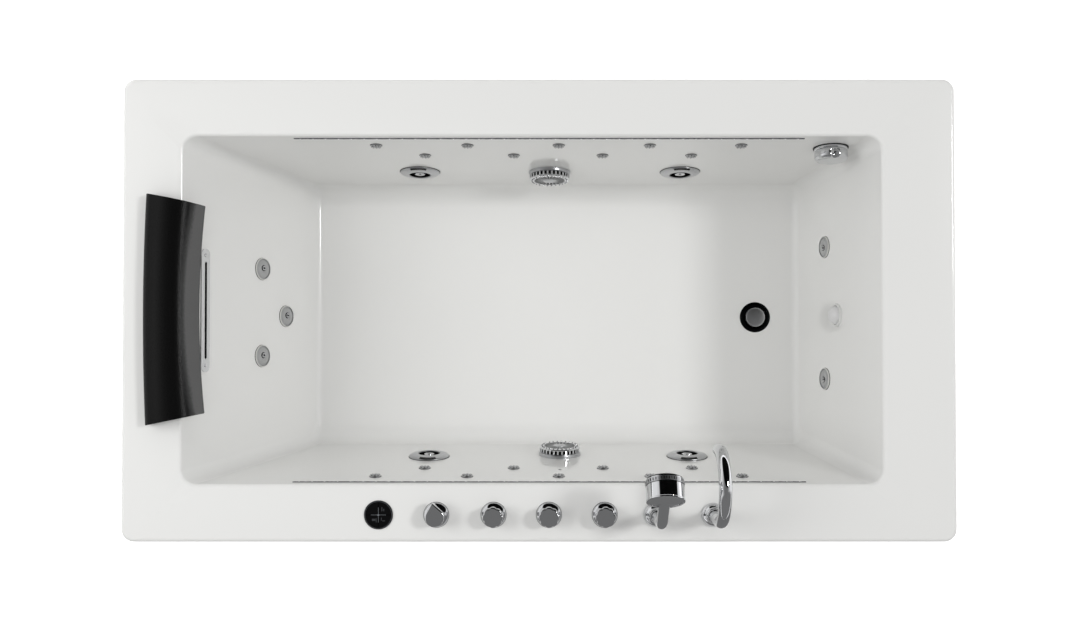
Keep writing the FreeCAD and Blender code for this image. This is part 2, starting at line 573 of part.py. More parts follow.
# Overflow with the twist knob that works the plug.
node(turned("overflow_body", [
    (0, -14), (5.3, -14), (5.3, "KnobSeat"), ("OverflowFlange - 3", "KnobSeat"),
    ("OverflowFlange", "KnobSeat - 3"), ("OverflowFlange", 0),
    ("OverflowBarrel", 0), ("OverflowBarrel", "-%s - OverflowTail" % WALL), (0, "-%s - OverflowTail" % WALL)],
    OVERFLOW))
knob_blank = turned("overflow_knob_blank", [
    (0, "KnobReach"), ("OverflowKnob - 7", "KnobReach"), ("OverflowKnob - 2", "KnobReach - 3"),
    ("OverflowKnob", "KnobReach - 8"), ("OverflowKnob", "KnobSeat + 2"),
    ("OverflowKnob - 2", "KnobSeat + RunningGap"), (5, "KnobSeat + RunningGap"), (5, -13), (0, -13)])
dimples = [primitive("Cylinder", "dimple",
                     at(S.DimpleOffset * math.cos(turn), S.DimpleOffset * math.sin(turn), S.KnobSeat + 6),
                     Radius="DimpleRadius", Height="KnobReach")
           for turn in (math.pi / 2, math.pi * 7 / 6, math.pi * 11 / 6)]
node(cut("overflow_knob", knob_blank, dimples, OVERFLOW))

# Waste tee, trap and overflow pipe, one assembly of plastic pipe.
tail_bottom = floor_top - S.DrainLength
trap_top = tail_bottom + 4
side_lean = S.SideRun / S.BasinDepth
overflow_tail = OVERFLOW.multVec(vector(0, 0, -wall_stack - S.OverflowTail))
overflow_line = overflow_tail.y + S.OverflowPipe + S.OverflowBarrel * side_lean + S.RunningGap
tee_level = frame_top - S.TubeSide / 2
overflow_run = [(overflow_x, overflow_line, S.RimHeight - S.OverflowDepth + 10),
                (overflow_x, overflow_line, tee_level),
                (drain_x, 90, tee_level), (drain_x, S.MidlineShift + S.DrainTail + 3, tee_level)]
waste_level = trap_top - S.TrapHeight + S.WasteRadius + 4
waste_run = [(drain_x, S.MidlineShift, waste_level), (drain_x + S.WasteReach, S.MidlineShift, waste_level)]


def under_drain(radius, height, level):
    return Part.makeCylinder(radius, height, vector(drain_x, S.MidlineShift, level))


waste_hub = Part.makeCylinder(S.WasteHub, S.HubReach, vector(drain_x, S.MidlineShift, waste_level),
                              vector(1, 0, 0))
pipework("waste_pipework", [(overflow_run, S.OverflowPipe), (waste_run, S.WasteRadius)], S.WasteWall, 35,
         extra=[waste_hub, under_drain(S.DrainTail + S.SocketWall, S.SocketLength, tail_bottom),
                under_drain(S.TrapRadius, S.TrapHeight, trap_top - S.TrapHeight)],
         bores=[under_drain(S.DrainTail, S.SocketLength, tail_bottom),
                under_drain(S.TrapRadius - 3, S.TrapHeight - 10, trap_top - S.TrapHeight + 3)])

# Cable from the knob's gear down to the plug's lever.
cable_start = OVERFLOW.multVec(vector(S.OverflowBarrel + S.RunningGap, 0, -wall_stack - S.OverflowTail / 2))
cable_level = tee_level + 2
cable_side = overflow_x + S.OverflowPipe + 26
cable_route = [tuple(cable_start), (cable_side, cable_start.y, cable_start.z),
               (cable_side, overflow_line - 6, cable_start.z - 60),
               (cable_side, overflow_line, cable_level + 60),
               (cable_side, overflow_line - 60, cable_level), (cable_side - 40, 60, cable_level),
               (drain_x + 80, S.MidlineShift, cable_level),
               (drain_x + S.DrainTail + 4 + S.RunningGap, S.MidlineShift, cable_level)]
cable_piece = doc.addObject("Part::Feature", "popup_cable")
cable_piece.Shape = rod(cable_route, S.CableRadius)
node(cable_piece)

# Waterfall plate in the head wall: a plate with a slot, on a throat that goes through the wall.
plate = rounded("plate", block("plate_blank", ("-WaterfallLength / 2", "-WaterfallWidth / 2", 0),
                               ("WaterfallLength", "WaterfallWidth", 3)),
                upright_edges(S.WaterfallWidth / 2 - 0.5))
throat = block("throat", ("-WaterfallSlot / 2 - 6", -8, "-%s - 30" % WALL),
               ("WaterfallSlot + 12", 16, "%s + 31" % WALL))
slot_space = block("slot_space", ("-WaterfallSlot / 2", "-SlotGap / 2", "-%s - 20" % WALL),
                   ("WaterfallSlot", "SlotGap", "%s + 40" % WALL))
node(cut("waterfall_plate", joined("plate_and_throat", [plate, throat]), [slot_space], WATERFALL))

# Underwater light: a housing with a bright ring, and a frosted lens.
node(turned("light_housing", [
    ("LensRadius + 0.3", 1), ("LensRadius + 0.3", 5), ("LightRing - 1", 5), ("LightRing", 3),
    ("LightRing", 0), ("MiniBarrel", 0), ("MiniBarrel", "-%s - LightLength" % WALL),
    (0, "-%s - LightLength" % WALL),
    (0, "4 - %s - LightLength" % WALL), (15, "4 - %s - LightLength" % WALL), (15, 1)], LIGHT))
node(turned("light_lens", [
    (0, 9), ("0.5 * LensRadius", 8.2), ("0.85 * LensRadius", 5.5), ("LensRadius", 2.5), ("LensRadius", 1),
    (0, 1)], LIGHT))

# Light strips let into both side walls just under the rim.
strip = primitive("Box", "strip_pattern", at(0, 0, 0), Length="StripLength", Width="StripWidth",
                  Height="StripThickness")
group("led_strips", strip, [
    on_wall("far", S.StripMiddle, S.StripDepth).multiply(at(-S.StripLength / 2, -S.StripWidth / 2, 0)),
    on_wall("near", S.StripMiddle, S.StripDepth).multiply(at(-S.StripLength / 2, -S.StripWidth / 2, 0))])

# Round keypad of four sprung quarters in a flanged cup.
node(turned("keypad_housing", [
    ("KeyField", 3), ("KeypadRadius - 1", 3), ("KeypadRadius", 2), ("KeypadRadius", 0), ("KeypadCup", 0),
    ("KeypadCup", "-%s - 6" % WALL), (0, "-%s - 6" % WALL), (0, -3), ("KeyField", -3)], KEYPAD))
key = primitive("Cylinder", "key_pattern", at(0, 0, 0), Radius="KeyField - 0.3 - KeyGap * 0.75",
                Height="5.2 - KeyTravel", Angle=90)
for number in range(4):
    quarter = FreeCAD.Placement(vector(0, 0, 0), FreeCAD.Rotation(vector(0, 0, 1), 90 * number))
    spot = KEYPAD.multiply(quarter).multiply(at(S.KeyGap / 2, S.KeyGap / 2, S.KeyTravel + S.RunningGap - 3))
    group("keypad_key_%d" % (number + 1), key, [spot])

# Four deck valves, each with its skirt and knob: air, hot, cold and diverter.
skirt = turned("skirt_pattern", [
    ("ValveRadius + HoleGap", 0), ("SkirtRadius", 0), ("SkirtRadius", 3), ("SkirtRadius - 2", 8),
    ("SkirtRadius - 6", "SkirtHeight"), ("ValveRadius + HoleGap", "SkirtHeight")])
group("valve_skirts", skirt, VALVES)
valve = turned("valve_pattern", [
    ("StemRadius + 0.1", "SkirtHeight - 1"), ("ValveRadius", "SkirtHeight - 1"), ("ValveRadius", "-" + WALL),
    ("ValveRadius + 6", "-" + WALL), ("ValveRadius + 6", "-%s - 12" % WALL),
    ("ValveRadius", "-%s - 12" % WALL), ("ValveRadius", "-ValveLength"), ("InletRadius", "-ValveLength"),
    ("InletRadius", "-ValveLength - InletLength"), (0, "-ValveLength - InletLength"), (0, -6),
    ("StemRadius + 0.1", -6)])
group("valve_bodies", valve, VALVES)
KNOB_BASE = "SkirtHeight + RunningGap"
knob_core = turned("knob_core", [
    (0, KNOB_BASE + " + KnobHeight"), ("KnobRadius - 1", KNOB_BASE + " + KnobHeight"),
    ("KnobRadius", KNOB_BASE + " + KnobHeight - 1"), ("KnobRadius", KNOB_BASE), ("StemRadius", KNOB_BASE),
    ("StemRadius", -5), (0, -5)])
grip_base = S.SkirtHeight + S.RunningGap + 4
lobe_ring = S.KnobRadius - 1
lobes = [primitive("Cylinder", "lobe", at(lobe_ring * math.cos(turn), lobe_ring * math.sin(turn), grip_base),
                   Radius="LobeRadius", Height="KnobHeight - 5")
         for turn in (math.tau * step / 8 for step in range(8))]
lobed_knob = joined("lobed_knob", [knob_core] + lobes)
flank = "PointerRadius * sqrt(1 - (PointerRadius / PointerReach) ^ 2)"
pointer = padded("pointer", [
    (0, flank), (0, "-" + flank), ("PointerRadius ^ 2 / PointerReach", "-" + flank), ("PointerReach", 0),
    ("PointerRadius ^ 2 / PointerReach", flank)], "KnobHeight - 5", at(0, 0, grip_base))
round_grip = primitive("Cylinder", "round_grip", at(0, 0, grip_base), Radius="PointerRadius",
                       Height="KnobHeight - 5")
pointed_knob = joined("pointed_knob", [knob_core, pointer, round_grip])
turned_away = FreeCAD.Placement(vector(0, 0, 0), FreeCAD.Rotation(vector(0, 0, 1), S.PointerTurn))
group("air_regulator_knob", pointed_knob, [VALVES[0].multiply(turned_away)])
for name, spot in zip(("hot_water_knob", "cold_water_knob", "diverter_knob"), VALVES[1:]):
    group(name, lobed_knob, [spot])

# Swan-neck spout turning in its deck base.
node(turned("spout_base", [
    ("SpoutTube + RunningGap", 24), (17, 24), (21, 19), (25, 8), (26, 3), (26, 0), ("SocketRadius", 0),
    ("SocketRadius", -60), (0, -60), (0, "-SocketDepth - RunningGap"),
    ("SpoutTube + RunningGap", "-SocketDepth - RunningGap")], SPOUT))
arch = S.SpoutReach / 2
spout_path = [(0, 0, -S.SocketDepth), (0, 0, S.SpoutRise + arch), (0, S.SpoutReach, S.SpoutRise + arch),
              (0, S.SpoutReach, S.SpoutRise - S.SpoutDrop)]
spout_shape = rod(spout_path, S.SpoutTube, arch - 0.5).cut(rod(spout_path, S.SpoutBore, arch - 0.5))
spout = doc.addObject("Part::Feature", "spout")
spout.Shape = spout_shape
spout.Placement = SPOUT
node(spout)

# Hand shower: a drum head on a bent handle that stands in a deck socket.
node(turned("shower_holder", [
    ("HandleRadius + RunningGap", 26), (16, 26), (20, 20), (25, 8), (26, 3), (26, 0), ("SocketRadius", 0),
    ("SocketRadius", -75), (0, -75), (0, "-SocketDepth - RunningGap"),
    ("HandleRadius + RunningGap", "-SocketDepth - RunningGap")], SHOWER))
head_turn = FreeCAD.Rotation(vector(1, 0, 0), -90 - S.HeadTilt)
head_middle = vector(0, S.HeadForward, S.HeadLift)
head_axis = head_turn.multVec(vector(0, 0, 1))
head_back = head_middle - head_axis * (S.HeadLength / 2)
drum = Part.makeCylinder(S.HeadRadius, S.HeadLength - 6, head_back, head_axis)
handle_end = head_middle - head_axis * 8
handle = rod([(0, 0, -S.SocketDepth), (0, 0, S.HandleRise), tuple(handle_end)], S.HandleRadius, 40)
hand_shower = doc.addObject("Part::Feature", "hand_shower")
hand_shower.Shape = drum.fuse(handle).removeSplitter()
hand_shower.Placement = SHOWER
node(hand_shower)
face_spot = SHOWER.multiply(FreeCAD.Placement(head_back + head_axis * (S.HeadLength - 6), head_turn))
node(turned("hand_shower_face", [
    (0, 6), ("HeadRadius - 6", 5), ("HeadRadius - 2", 2.5), ("HeadRadius - 2", 0), (0, 0)], face_spot))


# Head rest: a moulded cushion with a crown, drawn-in ends and a bowed front.
def pillow_section(share):
    """One slice of the cushion across the rim, at a share of its half length."""
    fall = abs(share) ** 5
    y = share * S.PillowLength / 2
    back = S.PillowInset - half_length + 10 * fall
    front = S.PillowInset + S.PillowDepth - half_length - 12 * (1 - share ** 2) - 26 * fall
    low = S.RimHeight + S.RunningGap
    shoulder = low + S.PillowHeight * (0.62 - 0.40 * fall)
    crown = low + S.PillowHeight * (1 - 0.62 * fall)
    middle = (back + front) / 2
    corners = [vector(back, y, low), vector(front, y, low), vector(front + 1, y, shoulder),
               vector(back - 1, y, shoulder)]
    edges = [Part.LineSegment(corners[0], corners[1]).toShape(),
             Part.Arc(corners[1], vector(front + 4, y, (low + shoulder) / 2), corners[2]).toShape(),
             Part.Arc(corners[2], vector(middle, y, crown), corners[3]).toShape(),
             Part.Arc(corners[3], vector(back - 4, y, (low + shoulder) / 2), corners[0]).toShape()]
    return Part.Wire(edges)


pillow = doc.addObject("Part::Feature", "pillow")
slices = [pillow_section(share) for share in (-1, -0.9, -0.6, 0, 0.6, 0.9, 1)]
pillow.Shape = Part.makeLoft(slices, True, False)
node(pillow)

# Pump on the equipment tray: volute, impeller and motor on one axis along Y.
pump_turn = FreeCAD.Rotation(vector(1, 0, 0), -90)
PUMP = at(pump_x, pump_y, S.PumpAxis, pump_turn)
volute_body = turned("volute_body", [
    ("ShaftRadius + RunningGap", "-VoluteWidth / 2"), ("VoluteRadius", "-VoluteWidth / 2"),
    ("VoluteRadius", "VoluteWidth / 2"), ("PumpInlet", "VoluteWidth / 2"),
    ("PumpInlet", "VoluteWidth / 2 + InletNeck"), ("PumpInlet - 3", "VoluteWidth / 2 + InletNeck"),
    ("PumpInlet - 3", "VoluteWidth / 2 - 4"),
    ("ImpellerRadius + 8", "VoluteWidth / 2 - 4"), ("ImpellerRadius + 8", "4 - VoluteWidth / 2"),
    ("ShaftRadius + RunningGap", "4 - VoluteWidth / 2")])
outlet_turn = FreeCAD.Rotation(vector(1, 0, 0), 90)
outlet = primitive("Cylinder", "outlet", at(S.OutletOffset, 0, 0, outlet_turn), Radius="PipeRadius + 2",
                   Height="OutletRise")
outlet_bore = primitive("Cylinder", "outlet_bore", at(S.OutletOffset, -10, 0, outlet_turn),
                        Radius="PipeRadius - PipeWall", Height="OutletRise")
hollow = primitive("Cylinder", "volute_hollow", at(0, 0, 4 - S.VoluteWidth / 2), Radius="ImpellerRadius + 8",
                   Height="VoluteWidth - 8")
pump_foot = block("pump_foot", (-40, "PumpAxis - %s - FootPlate" % tray_top, "-VoluteWidth / 2 + 6"),
                  (80, "FootPlate", "VoluteWidth - 12"))
pump_web = block("pump_web", (-12, "VoluteRadius - 6", "-VoluteWidth / 2 + 6"),
                 (24, "PumpAxis - %s - VoluteRadius + 2" % tray_top, "VoluteWidth - 12"))
volute_blank = joined("volute_blank", [volute_body, outlet, pump_foot, pump_web])
node(cut("pump_volute", volute_blank, [outlet_bore, hollow], PUMP))
node(turned("pump_impeller", [
    (0, 14), (12, 14), ("ImpellerRadius", 4), ("ImpellerRadius", -14), ("ShaftRadius", -14),
    ("ShaftRadius", "-VoluteWidth / 2 - 30"), (0, "-VoluteWidth / 2 - 30")], PUMP))
motor_body = turned("motor_body", [
    ("ShaftRadius + RunningGap", "-VoluteWidth / 2"), ("MotorRadius - 8", "-VoluteWidth / 2"),
    ("MotorRadius", "-VoluteWidth / 2 - 8"), ("MotorRadius", "-VoluteWidth / 2 - MotorLength + 10"),
    ("MotorRadius - 10", "-VoluteWidth / 2 - MotorLength"), (0, "-VoluteWidth / 2 - MotorLength"),
    (0, "-VoluteWidth / 2 - 31"), ("ShaftRadius + RunningGap", "-VoluteWidth / 2 - 31")])
motor_foot = block("motor_foot", ("-MotorFoot / 2", "PumpAxis - %s - FootPlate" % tray_top,
                                  "-VoluteWidth / 2 - MotorLength + 40"),
                   ("MotorFoot", "FootPlate", "MotorLength - 80"))
motor_web = block("motor_web", (-14, "MotorRadius - 6", "-VoluteWidth / 2 - MotorLength + 45"),
                  (28, "PumpAxis - %s - MotorRadius + 2" % tray_top, "MotorLength - 90"))
node(joined("pump_motor", [motor_body, motor_foot, motor_web], PUMP))

# Blower for the air jets.
blower_y = S.BlowerInset - S.TubWidth / 2
BLOWER = at(pump_x, blower_y, tray_top)
blower_shell = turned("blower_shell", [
    (0, 0), ("BlowerRadius - 6", 0), ("BlowerRadius", 8), ("BlowerRadius", "BlowerHeight - 20"),
    ("BlowerRadius - 12", "BlowerHeight"), (0, "BlowerHeight"), (0, "BlowerHeight - 4"),
    ("FanRadius + 6", "BlowerHeight - 24"), ("FanRadius + 6", 10), (8, 10), (8, 4), (0, 4)])
neck = primitive("Cylinder", "blower_neck", at(S.NeckOffset, 0, S.BlowerHeight - 10),
                 Radius="AirPipe + 3", Height="NeckLength + 10")
neck_bore = primitive("Cylinder", "blower_neck_bore", at(S.NeckOffset, 0, S.BlowerHeight - 30),
                      Radius="AirPipe - 1", Height="NeckLength + 40")
node(cut("blower_housing", joined("blower_blank", [blower_shell, neck]), [neck_bore], BLOWER))
node(turned("blower_fan", [
    (0, 46), (12, 46), ("FanRadius", 34), ("FanRadius", 14), (6, 14), (6, 4.5), (0, 4.5)], BLOWER))



# Water pipes: the pressure loop to the jets and the suction line to the pump.
def beside(spot, line, level):
    """A point of a pipe that runs along the basin, level with a fitting."""
    return (spot.x, math.copysign(line, spot.y), level)


def under(spot, line, housing, pipe):
    """The lowest point a riser may reach under a housing that leans with the wall."""
    lean_drop = (pipe + abs(line - abs(spot.y))) * side_lean
    return beside(spot, line, spot.z - housing / math.cos(math.atan(side_lean)) - lean_drop - S.RunningGap)


def over(spot, line, housing, pipe):
    lean_rise = (pipe + abs(line - abs(spot.y))) * side_lean
    return beside(spot, line, spot.z + housing / math.cos(math.atan(side_lean)) + lean_rise + S.RunningGap)


jet_backs = [spot.multVec(vector(0, 0, -wall_stack - S.JetLength / 2)) for spot in JETS]
loop_x = pump_x + S.OutletOffset
loop = [beside(jet_backs[1], pressure_line, S.PressureLevel), (loop_x, pressure_line, S.PressureLevel),
        (loop_x, pressure_line, S.CrossLevel), (loop_x, -pressure_line, S.CrossLevel),
        (loop_x, -pressure_line, S.PressureLevel), beside(jet_backs[3], pressure_line, S.PressureLevel)]
risers = [([beside(spot, pressure_line, S.PressureLevel),
            under(spot, pressure_line, S.JetHousing, S.RiserRadius)], S.RiserRadius) for spot in jet_backs]
feed = ([(loop_x, pump_y, S.CrossLevel), (loop_x, pump_y, S.PumpAxis + S.OutletRise)], S.PipeRadius)
pipework("pressure_pipes", [(loop, S.PipeRadius), feed] + risers, S.PipeWall, 30)

cups = [spot.multVec(vector(0, 0, -wall_stack - S.SuctionLength / 2)) for spot in SUCTIONS]
cross_level = frame_top - S.TubeSide / 2
across_run = [under(cups[0], suction_line, S.SuctionHousing, S.CrossPipe),
              beside(cups[0], suction_line, cross_level), beside(cups[1], suction_line, cross_level),
              under(cups[1], suction_line, S.SuctionHousing, S.CrossPipe)]
to_pump = [(cups[0].x, suction_line, S.PumpAxis), (pump_x, suction_line, S.PumpAxis),
           (pump_x, pump_y + S.VoluteWidth / 2 + S.InletNeck, S.PumpAxis)]
pipework("suction_pipes", [(across_run, S.CrossPipe), (to_pump, S.SuctionPipe)], S.PipeWall, 32)

# Air lines: one loop from the regulator to the hydro jets, one from the blower to the air jets.
air_end = pump_x + S.AirLineShift
air_loop = [beside(jet_backs[1], air_line, S.AirLineLevel), (air_end, air_line, S.AirLineLevel),
            (air_end, -air_line, S.AirLineLevel), beside(jet_backs[3], air_line, S.AirLineLevel)]
drops = [([beside(spot, air_line, S.AirLineLevel), over(spot, air_line, S.JetHousing, S.DropRadius)],
          S.DropRadius) for spot in jet_backs]
inlet_end = S.RimHeight - S.ValveLength - S.InletLength
regulator_run = [(S.AirKnobX, deck_line, inlet_end), (S.AirKnobX, deck_line, S.AirLineLevel),
                 (S.AirKnobX, -air_line, S.AirLineLevel)]
tail = AIRS[-1].multVec(vector(0, 0, -wall_stack - S.AirLength))
blower_line = abs(tail.y) + S.AirPipe + S.AirBarrel * side_lean + S.RunningGap
blower_level = tail.z
row_end = S.AirMiddle + 1.5 * S.AirPitch + S.RowOverrun
riser_x = pump_x + S.NeckOffset
blower_loop = [(row_end, blower_line, blower_level), (riser_x, blower_line, blower_level),
               (riser_x, -blower_line, blower_level), (row_end, -blower_line, blower_level)]
blower_riser = [(riser_x, blower_y, tray_top + S.BlowerHeight + S.NeckLength),
                (riser_x, blower_y, blower_level)]
pipework("air_pipes", [(air_loop, S.AirPipe), (regulator_run, S.BranchPipe), (blower_loop, S.AirPipe),
                       (blower_riser, S.AirPipe)] + drops, S.AirPipeWall, 25)

# Control box on the tray, with a gland for its mains lead.
box_blank = block("box_blank", ("TrayInset + BoxGap - TubLength / 2", "BoxSide", tray_top),
                  ("BoxLength", "BoxWidth", "BoxHeight"))
box_case = rounded("box_case", box_blank, upright_edges(S.BoxCorner))
gland_x = tray_start + S.BoxGap + S.BoxLength / 2
box_end = S.BoxSide + S.BoxWidth
gland = primitive("Cylinder", "gland", at(gland_x, box_end - 1, tray_top + S.GlandLevel, along_y),
                  Radius="GlandBore + 5", Height="GlandReach + 1")
gland_bore = primitive("Cylinder", "gland_bore", at(gland_x, box_end - 8, tray_top + S.GlandLevel, along_y),
                       Radius="GlandBore", Height="GlandReach + 20")
node(cut("control_box", joined("box_and_gland", [box_case, gland]), [gland_bore]))

doc.recompute()
for item in doc.Objects:
    if "Invalid" in item.State or "Error" in item.State:
        raise RuntimeError("%s is %s" % (item.Label, item.State))
for item in nodes:
    if item.Shape.isNull() or not item.Shape.isValid():
        raise RuntimeError("%s has no valid shape" % item.Label)
for item in nodes:
    item.Shape.exportStep("parts/%s.step" % item.Label)
print("%d nodes written" % len(nodes))
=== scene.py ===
import math

import bmesh
import bpy
from mathutils import Matrix, Vector


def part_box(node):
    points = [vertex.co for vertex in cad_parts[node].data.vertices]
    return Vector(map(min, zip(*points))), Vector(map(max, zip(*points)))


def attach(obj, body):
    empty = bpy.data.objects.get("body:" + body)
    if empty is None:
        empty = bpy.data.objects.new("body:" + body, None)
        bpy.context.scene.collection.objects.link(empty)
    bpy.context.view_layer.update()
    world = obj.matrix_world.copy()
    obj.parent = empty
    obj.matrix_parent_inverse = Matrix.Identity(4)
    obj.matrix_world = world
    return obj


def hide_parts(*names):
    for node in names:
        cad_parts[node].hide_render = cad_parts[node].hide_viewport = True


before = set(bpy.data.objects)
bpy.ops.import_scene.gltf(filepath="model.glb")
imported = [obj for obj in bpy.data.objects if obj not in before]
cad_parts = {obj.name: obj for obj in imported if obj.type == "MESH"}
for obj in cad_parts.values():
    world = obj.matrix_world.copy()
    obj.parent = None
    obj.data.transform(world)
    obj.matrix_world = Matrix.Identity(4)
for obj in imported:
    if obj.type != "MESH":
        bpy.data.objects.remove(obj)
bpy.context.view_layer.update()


# The tub shell: one sheet of white cast acrylic, softened and drawn down over a mould. The sheet
# keeps a hard wet gloss, with a very slight unevenness where it was stretched.
def linear(code):
    """An sRGB hex colour as linear red, green, blue and alpha."""
    parts = [int(code[start:start + 2], 16) / 255 for start in (1, 3, 5)]
    return [part / 12.92 if part <= 0.04045 else ((part + 0.055) / 1.055) ** 2.4 for part in parts] + [1.0]


def add_node(tree, kind, values=None, sources=None, feeds=None, stops=None, **settings):
    """Add a node with its settings, socket values, the (node, output) pairs that feed it, the colour
    stops of its ramp, and the shader socket that it feeds."""
    node = tree.nodes.new(kind)
    for name, value in settings.items():
        setattr(node, name, value)
    for name, value in (values or {}).items():
        node.inputs[name].default_value = value
    for name, (source, output) in (sources or {}).items():
        tree.links.new(source.outputs[output], node.inputs[name])
    for position, code in stops or ():
        if position:
            element = node.color_ramp.elements.new(position)
        else:
            node.color_ramp.elements.remove(node.color_ramp.elements[1])
            element = node.color_ramp.elements[0]
        element.color = linear(code)
    if feeds:
        tree.links.new(node.outputs[0], tree.nodes["Principled BSDF"].inputs[feeds])
    return node


def new_material(name, **sockets):
    """A material whose shader sockets are set by name, with _ for a space. Returns it and its tree."""
    material = bpy.data.materials.new(name)
    material.use_nodes = True
    shader = material.node_tree.nodes["Principled BSDF"]
    for socket, value in sockets.items():
        value = linear(value) if isinstance(value, str) else value
        shader.inputs[socket.replace("_", " ")].default_value = value
    return material, material.node_tree


def textured(tree, kind, size, **values):
    """A texture of the given kind and size in metres, laid on Object coordinates."""
    place = add_node(tree, "ShaderNodeTexCoord")
    return add_node(tree, kind, {"Scale": 1 / size, **values}, {"Vector": (place, "Object")})


def ranged(tree, source, low, high, output="Fac"):
    """Let a texture vary the roughness between two values."""
    add_node(tree, "ShaderNodeMapRange", {"To Min": low, "To Max": high}, {"Value": (source, output)},
             "Roughness")


def bumped(tree, source, strength, distance, output="Fac"):
    """Let a texture raise the surface by up to a distance in metres."""
    add_node(tree, "ShaderNodeBump", {"Strength": strength, "Distance": distance},
             {"Height": (source, output)}, "Normal")


def clouded(tree, size, low, high, detail=2.0):
    """Let a soft cloud of the given size in metres vary the roughness between two values."""
    cloud = textured(tree, "ShaderNodeTexNoise", size, Detail=detail)
    ranged(tree, cloud, low, high)
    return cloud


# Curved faces are shaded smooth and edges sharper than 35 degrees stay crisp.
CRISP_ANGLE = math.radians(35)
smoothing = bpy.data.node_groups.new("joined_and_smooth", "GeometryNodeTree")
for way in ("INPUT", "OUTPUT"):
    smoothing.interface.new_socket("Geometry", in_out=way, socket_type="NodeSocketGeometry")
loose = add_node(smoothing, "NodeGroupInput")
joined = add_node(smoothing, "GeometryNodeMergeByDistance", {"Distance": 0.00001},
                  {"Geometry": (loose, "Geometry")})
smooth = add_node(smoothing, "GeometryNodeSetShadeSmooth", sources={"Geometry": (joined, "Geometry")})
bend = add_node(smoothing, "GeometryNodeInputMeshEdgeAngle")
sharp = add_node(smoothing, "FunctionNodeCompare", {"B": CRISP_ANGLE}, {"A": (bend, "Unsigned Angle")},
                 operation="GREATER_THAN")
crisp = add_node(smoothing, "GeometryNodeSetShadeSmooth", {"Shade Smooth": False},
                 {"Geometry": (smooth, "Geometry"), "Selection": (sharp, "Result")}, domain="EDGE")
add_node(smoothing, "NodeGroupOutput", sources={"Geometry": (crisp, "Geometry")})


def finish_node(name, material):
    """Give a node its material, and shade its curved faces smoothly."""
    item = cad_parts[name]
    item.material_slots[0].material = material
    item.modifiers.new("smooth", "NODES").node_group = smoothing


# The shell's finish: acrylic of IOR 1.49, nearly mirror smooth under a thin polish. Its ripple is
# some 80 mm long.
acrylic, tree = new_material("cast_acrylic", Base_Color="#EEEEEC", Roughness=0.16, IOR=1.49,
                             Coat_Weight=0.4, Coat_Roughness=0.05)
ripple = textured(tree, "ShaderNodeTexNoise", 0.08, Detail=1.0)
bumped(tree, ripple, 0.15, 0.0006)
finish_node("tub_shell", acrylic)

# The basin narrows downwards: how far each wall's top lies from the middle, and how far it leans in.
tub_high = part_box("tub_shell")[1]
RIM = tub_high.z
BASIN_DEPTH = 0.450
WALLS = {
    "far": (Vector((0, -1, 0)), tub_high.y - 0.124, 0.056),
    "near": (Vector((0, 1, 0)), tub_high.y - 0.124, 0.056),
    "head": (Vector((1, 0, 0)), tub_high.x - 0.129, 0.210),
    "foot": (Vector((-1, 0, 0)), tub_high.x - 0.160, 0.085),
}


def on_wall(side, along, depth):
    """The place of a fitting on a basin wall: its Z points into the bath and its Y up the wall."""
    inward, reach, run = WALLS[side]
    lean = math.atan2(run, BASIN_DEPTH)
    rise = Vector((0, 0, 1))
    normal = inward * math.cos(lean) + rise * math.sin(lean)
    upward = rise * math.cos(lean) - inward * math.sin(lean)
    across = upward.cross(normal)
    spot = inward * (depth * math.tan(lean) - reach) + rise * (RIM - depth)
    spot += Vector((abs(across.x), abs(across.y), 0)) * along
    turn = Matrix((across, upward, normal)).transposed().to_4x4()
    return Matrix.Translation(spot) @ turn


# Behind the acrylic: chopped glass strand sprayed on in polyester resin and rolled, a yellowish grey
# coat with strands some 30 mm long lying every way.
laminate, tree = new_material("glass_fibre_laminate", Roughness=0.55, IOR=1.52)
place = add_node(tree, "ShaderNodeTexCoord")
strand_bumps = []
for turn in (0.3, 1.4, 2.5):
    lay = add_node(tree, "ShaderNodeMapping", {"Rotation": (turn, turn * 0.7, turn), "Scale": (1, 9, 9)},
                   {"Vector": (place, "Object")})
    strand_bumps.append(add_node(tree, "ShaderNodeTexNoise", {"Scale": 1 / 0.03, "Detail": 3.0},
                                 {"Vector": (lay, "Vector")}))
crossed = add_node(tree, "ShaderNodeMath", sources={0: (strand_bumps[0], "Fac"), 1: (strand_bumps[1], "Fac")},
                   operation="MAXIMUM")
piled = add_node(tree, "ShaderNodeMath", sources={0: (crossed, "Value"), 1: (strand_bumps[2], "Fac")},
                 operation="MAXIMUM")
add_node(tree, "ShaderNodeValToRGB", sources={"Fac": (piled, "Value")}, feeds="Base Color",
         stops=((0, "#A9A284"), (0.45, "#B9B293"), (0.75, "#D9D4BC")))
bumped(tree, piled, 0.6, 0.0015, "Value")
finish_node("fibreglass_backing", laminate)


# The board glassed under the floor and the equipment tray: birch plywood, sawn and left bare. Its
# faces show long pale grain; the cut edges show the plies.
plywood, tree = new_material("birch_plywood", Roughness=0.62, IOR=1.5)
place = add_node(tree, "ShaderNodeTexCoord")
along = add_node(tree, "ShaderNodeMapping", {"Scale": (1, 14, 60)}, {"Vector": (place, "Object")})
grain = add_node(tree, "ShaderNodeTexNoise", {"Scale": 1 / 0.12, "Detail": 6.0, "Distortion": 0.6},
                 {"Vector": (along, "Vector")})
add_node(tree, "ShaderNodeValToRGB", sources={"Fac": (grain, "Fac")}, feeds="Base Color",
         stops=((0, "#9C7C50"), (0.3, "#A98A5E"), (0.72, "#D2B98C")))
bumped(tree, grain, 0.25, 0.0004)
finish_node("base_board", plywood)
finish_node("equipment_tray", plywood)


# The frame: square mild-steel tube, welded and hot-dip galvanised, which leaves a spangled grey.
# A fillet weld runs round the foot of each upright.
MM = 0.001


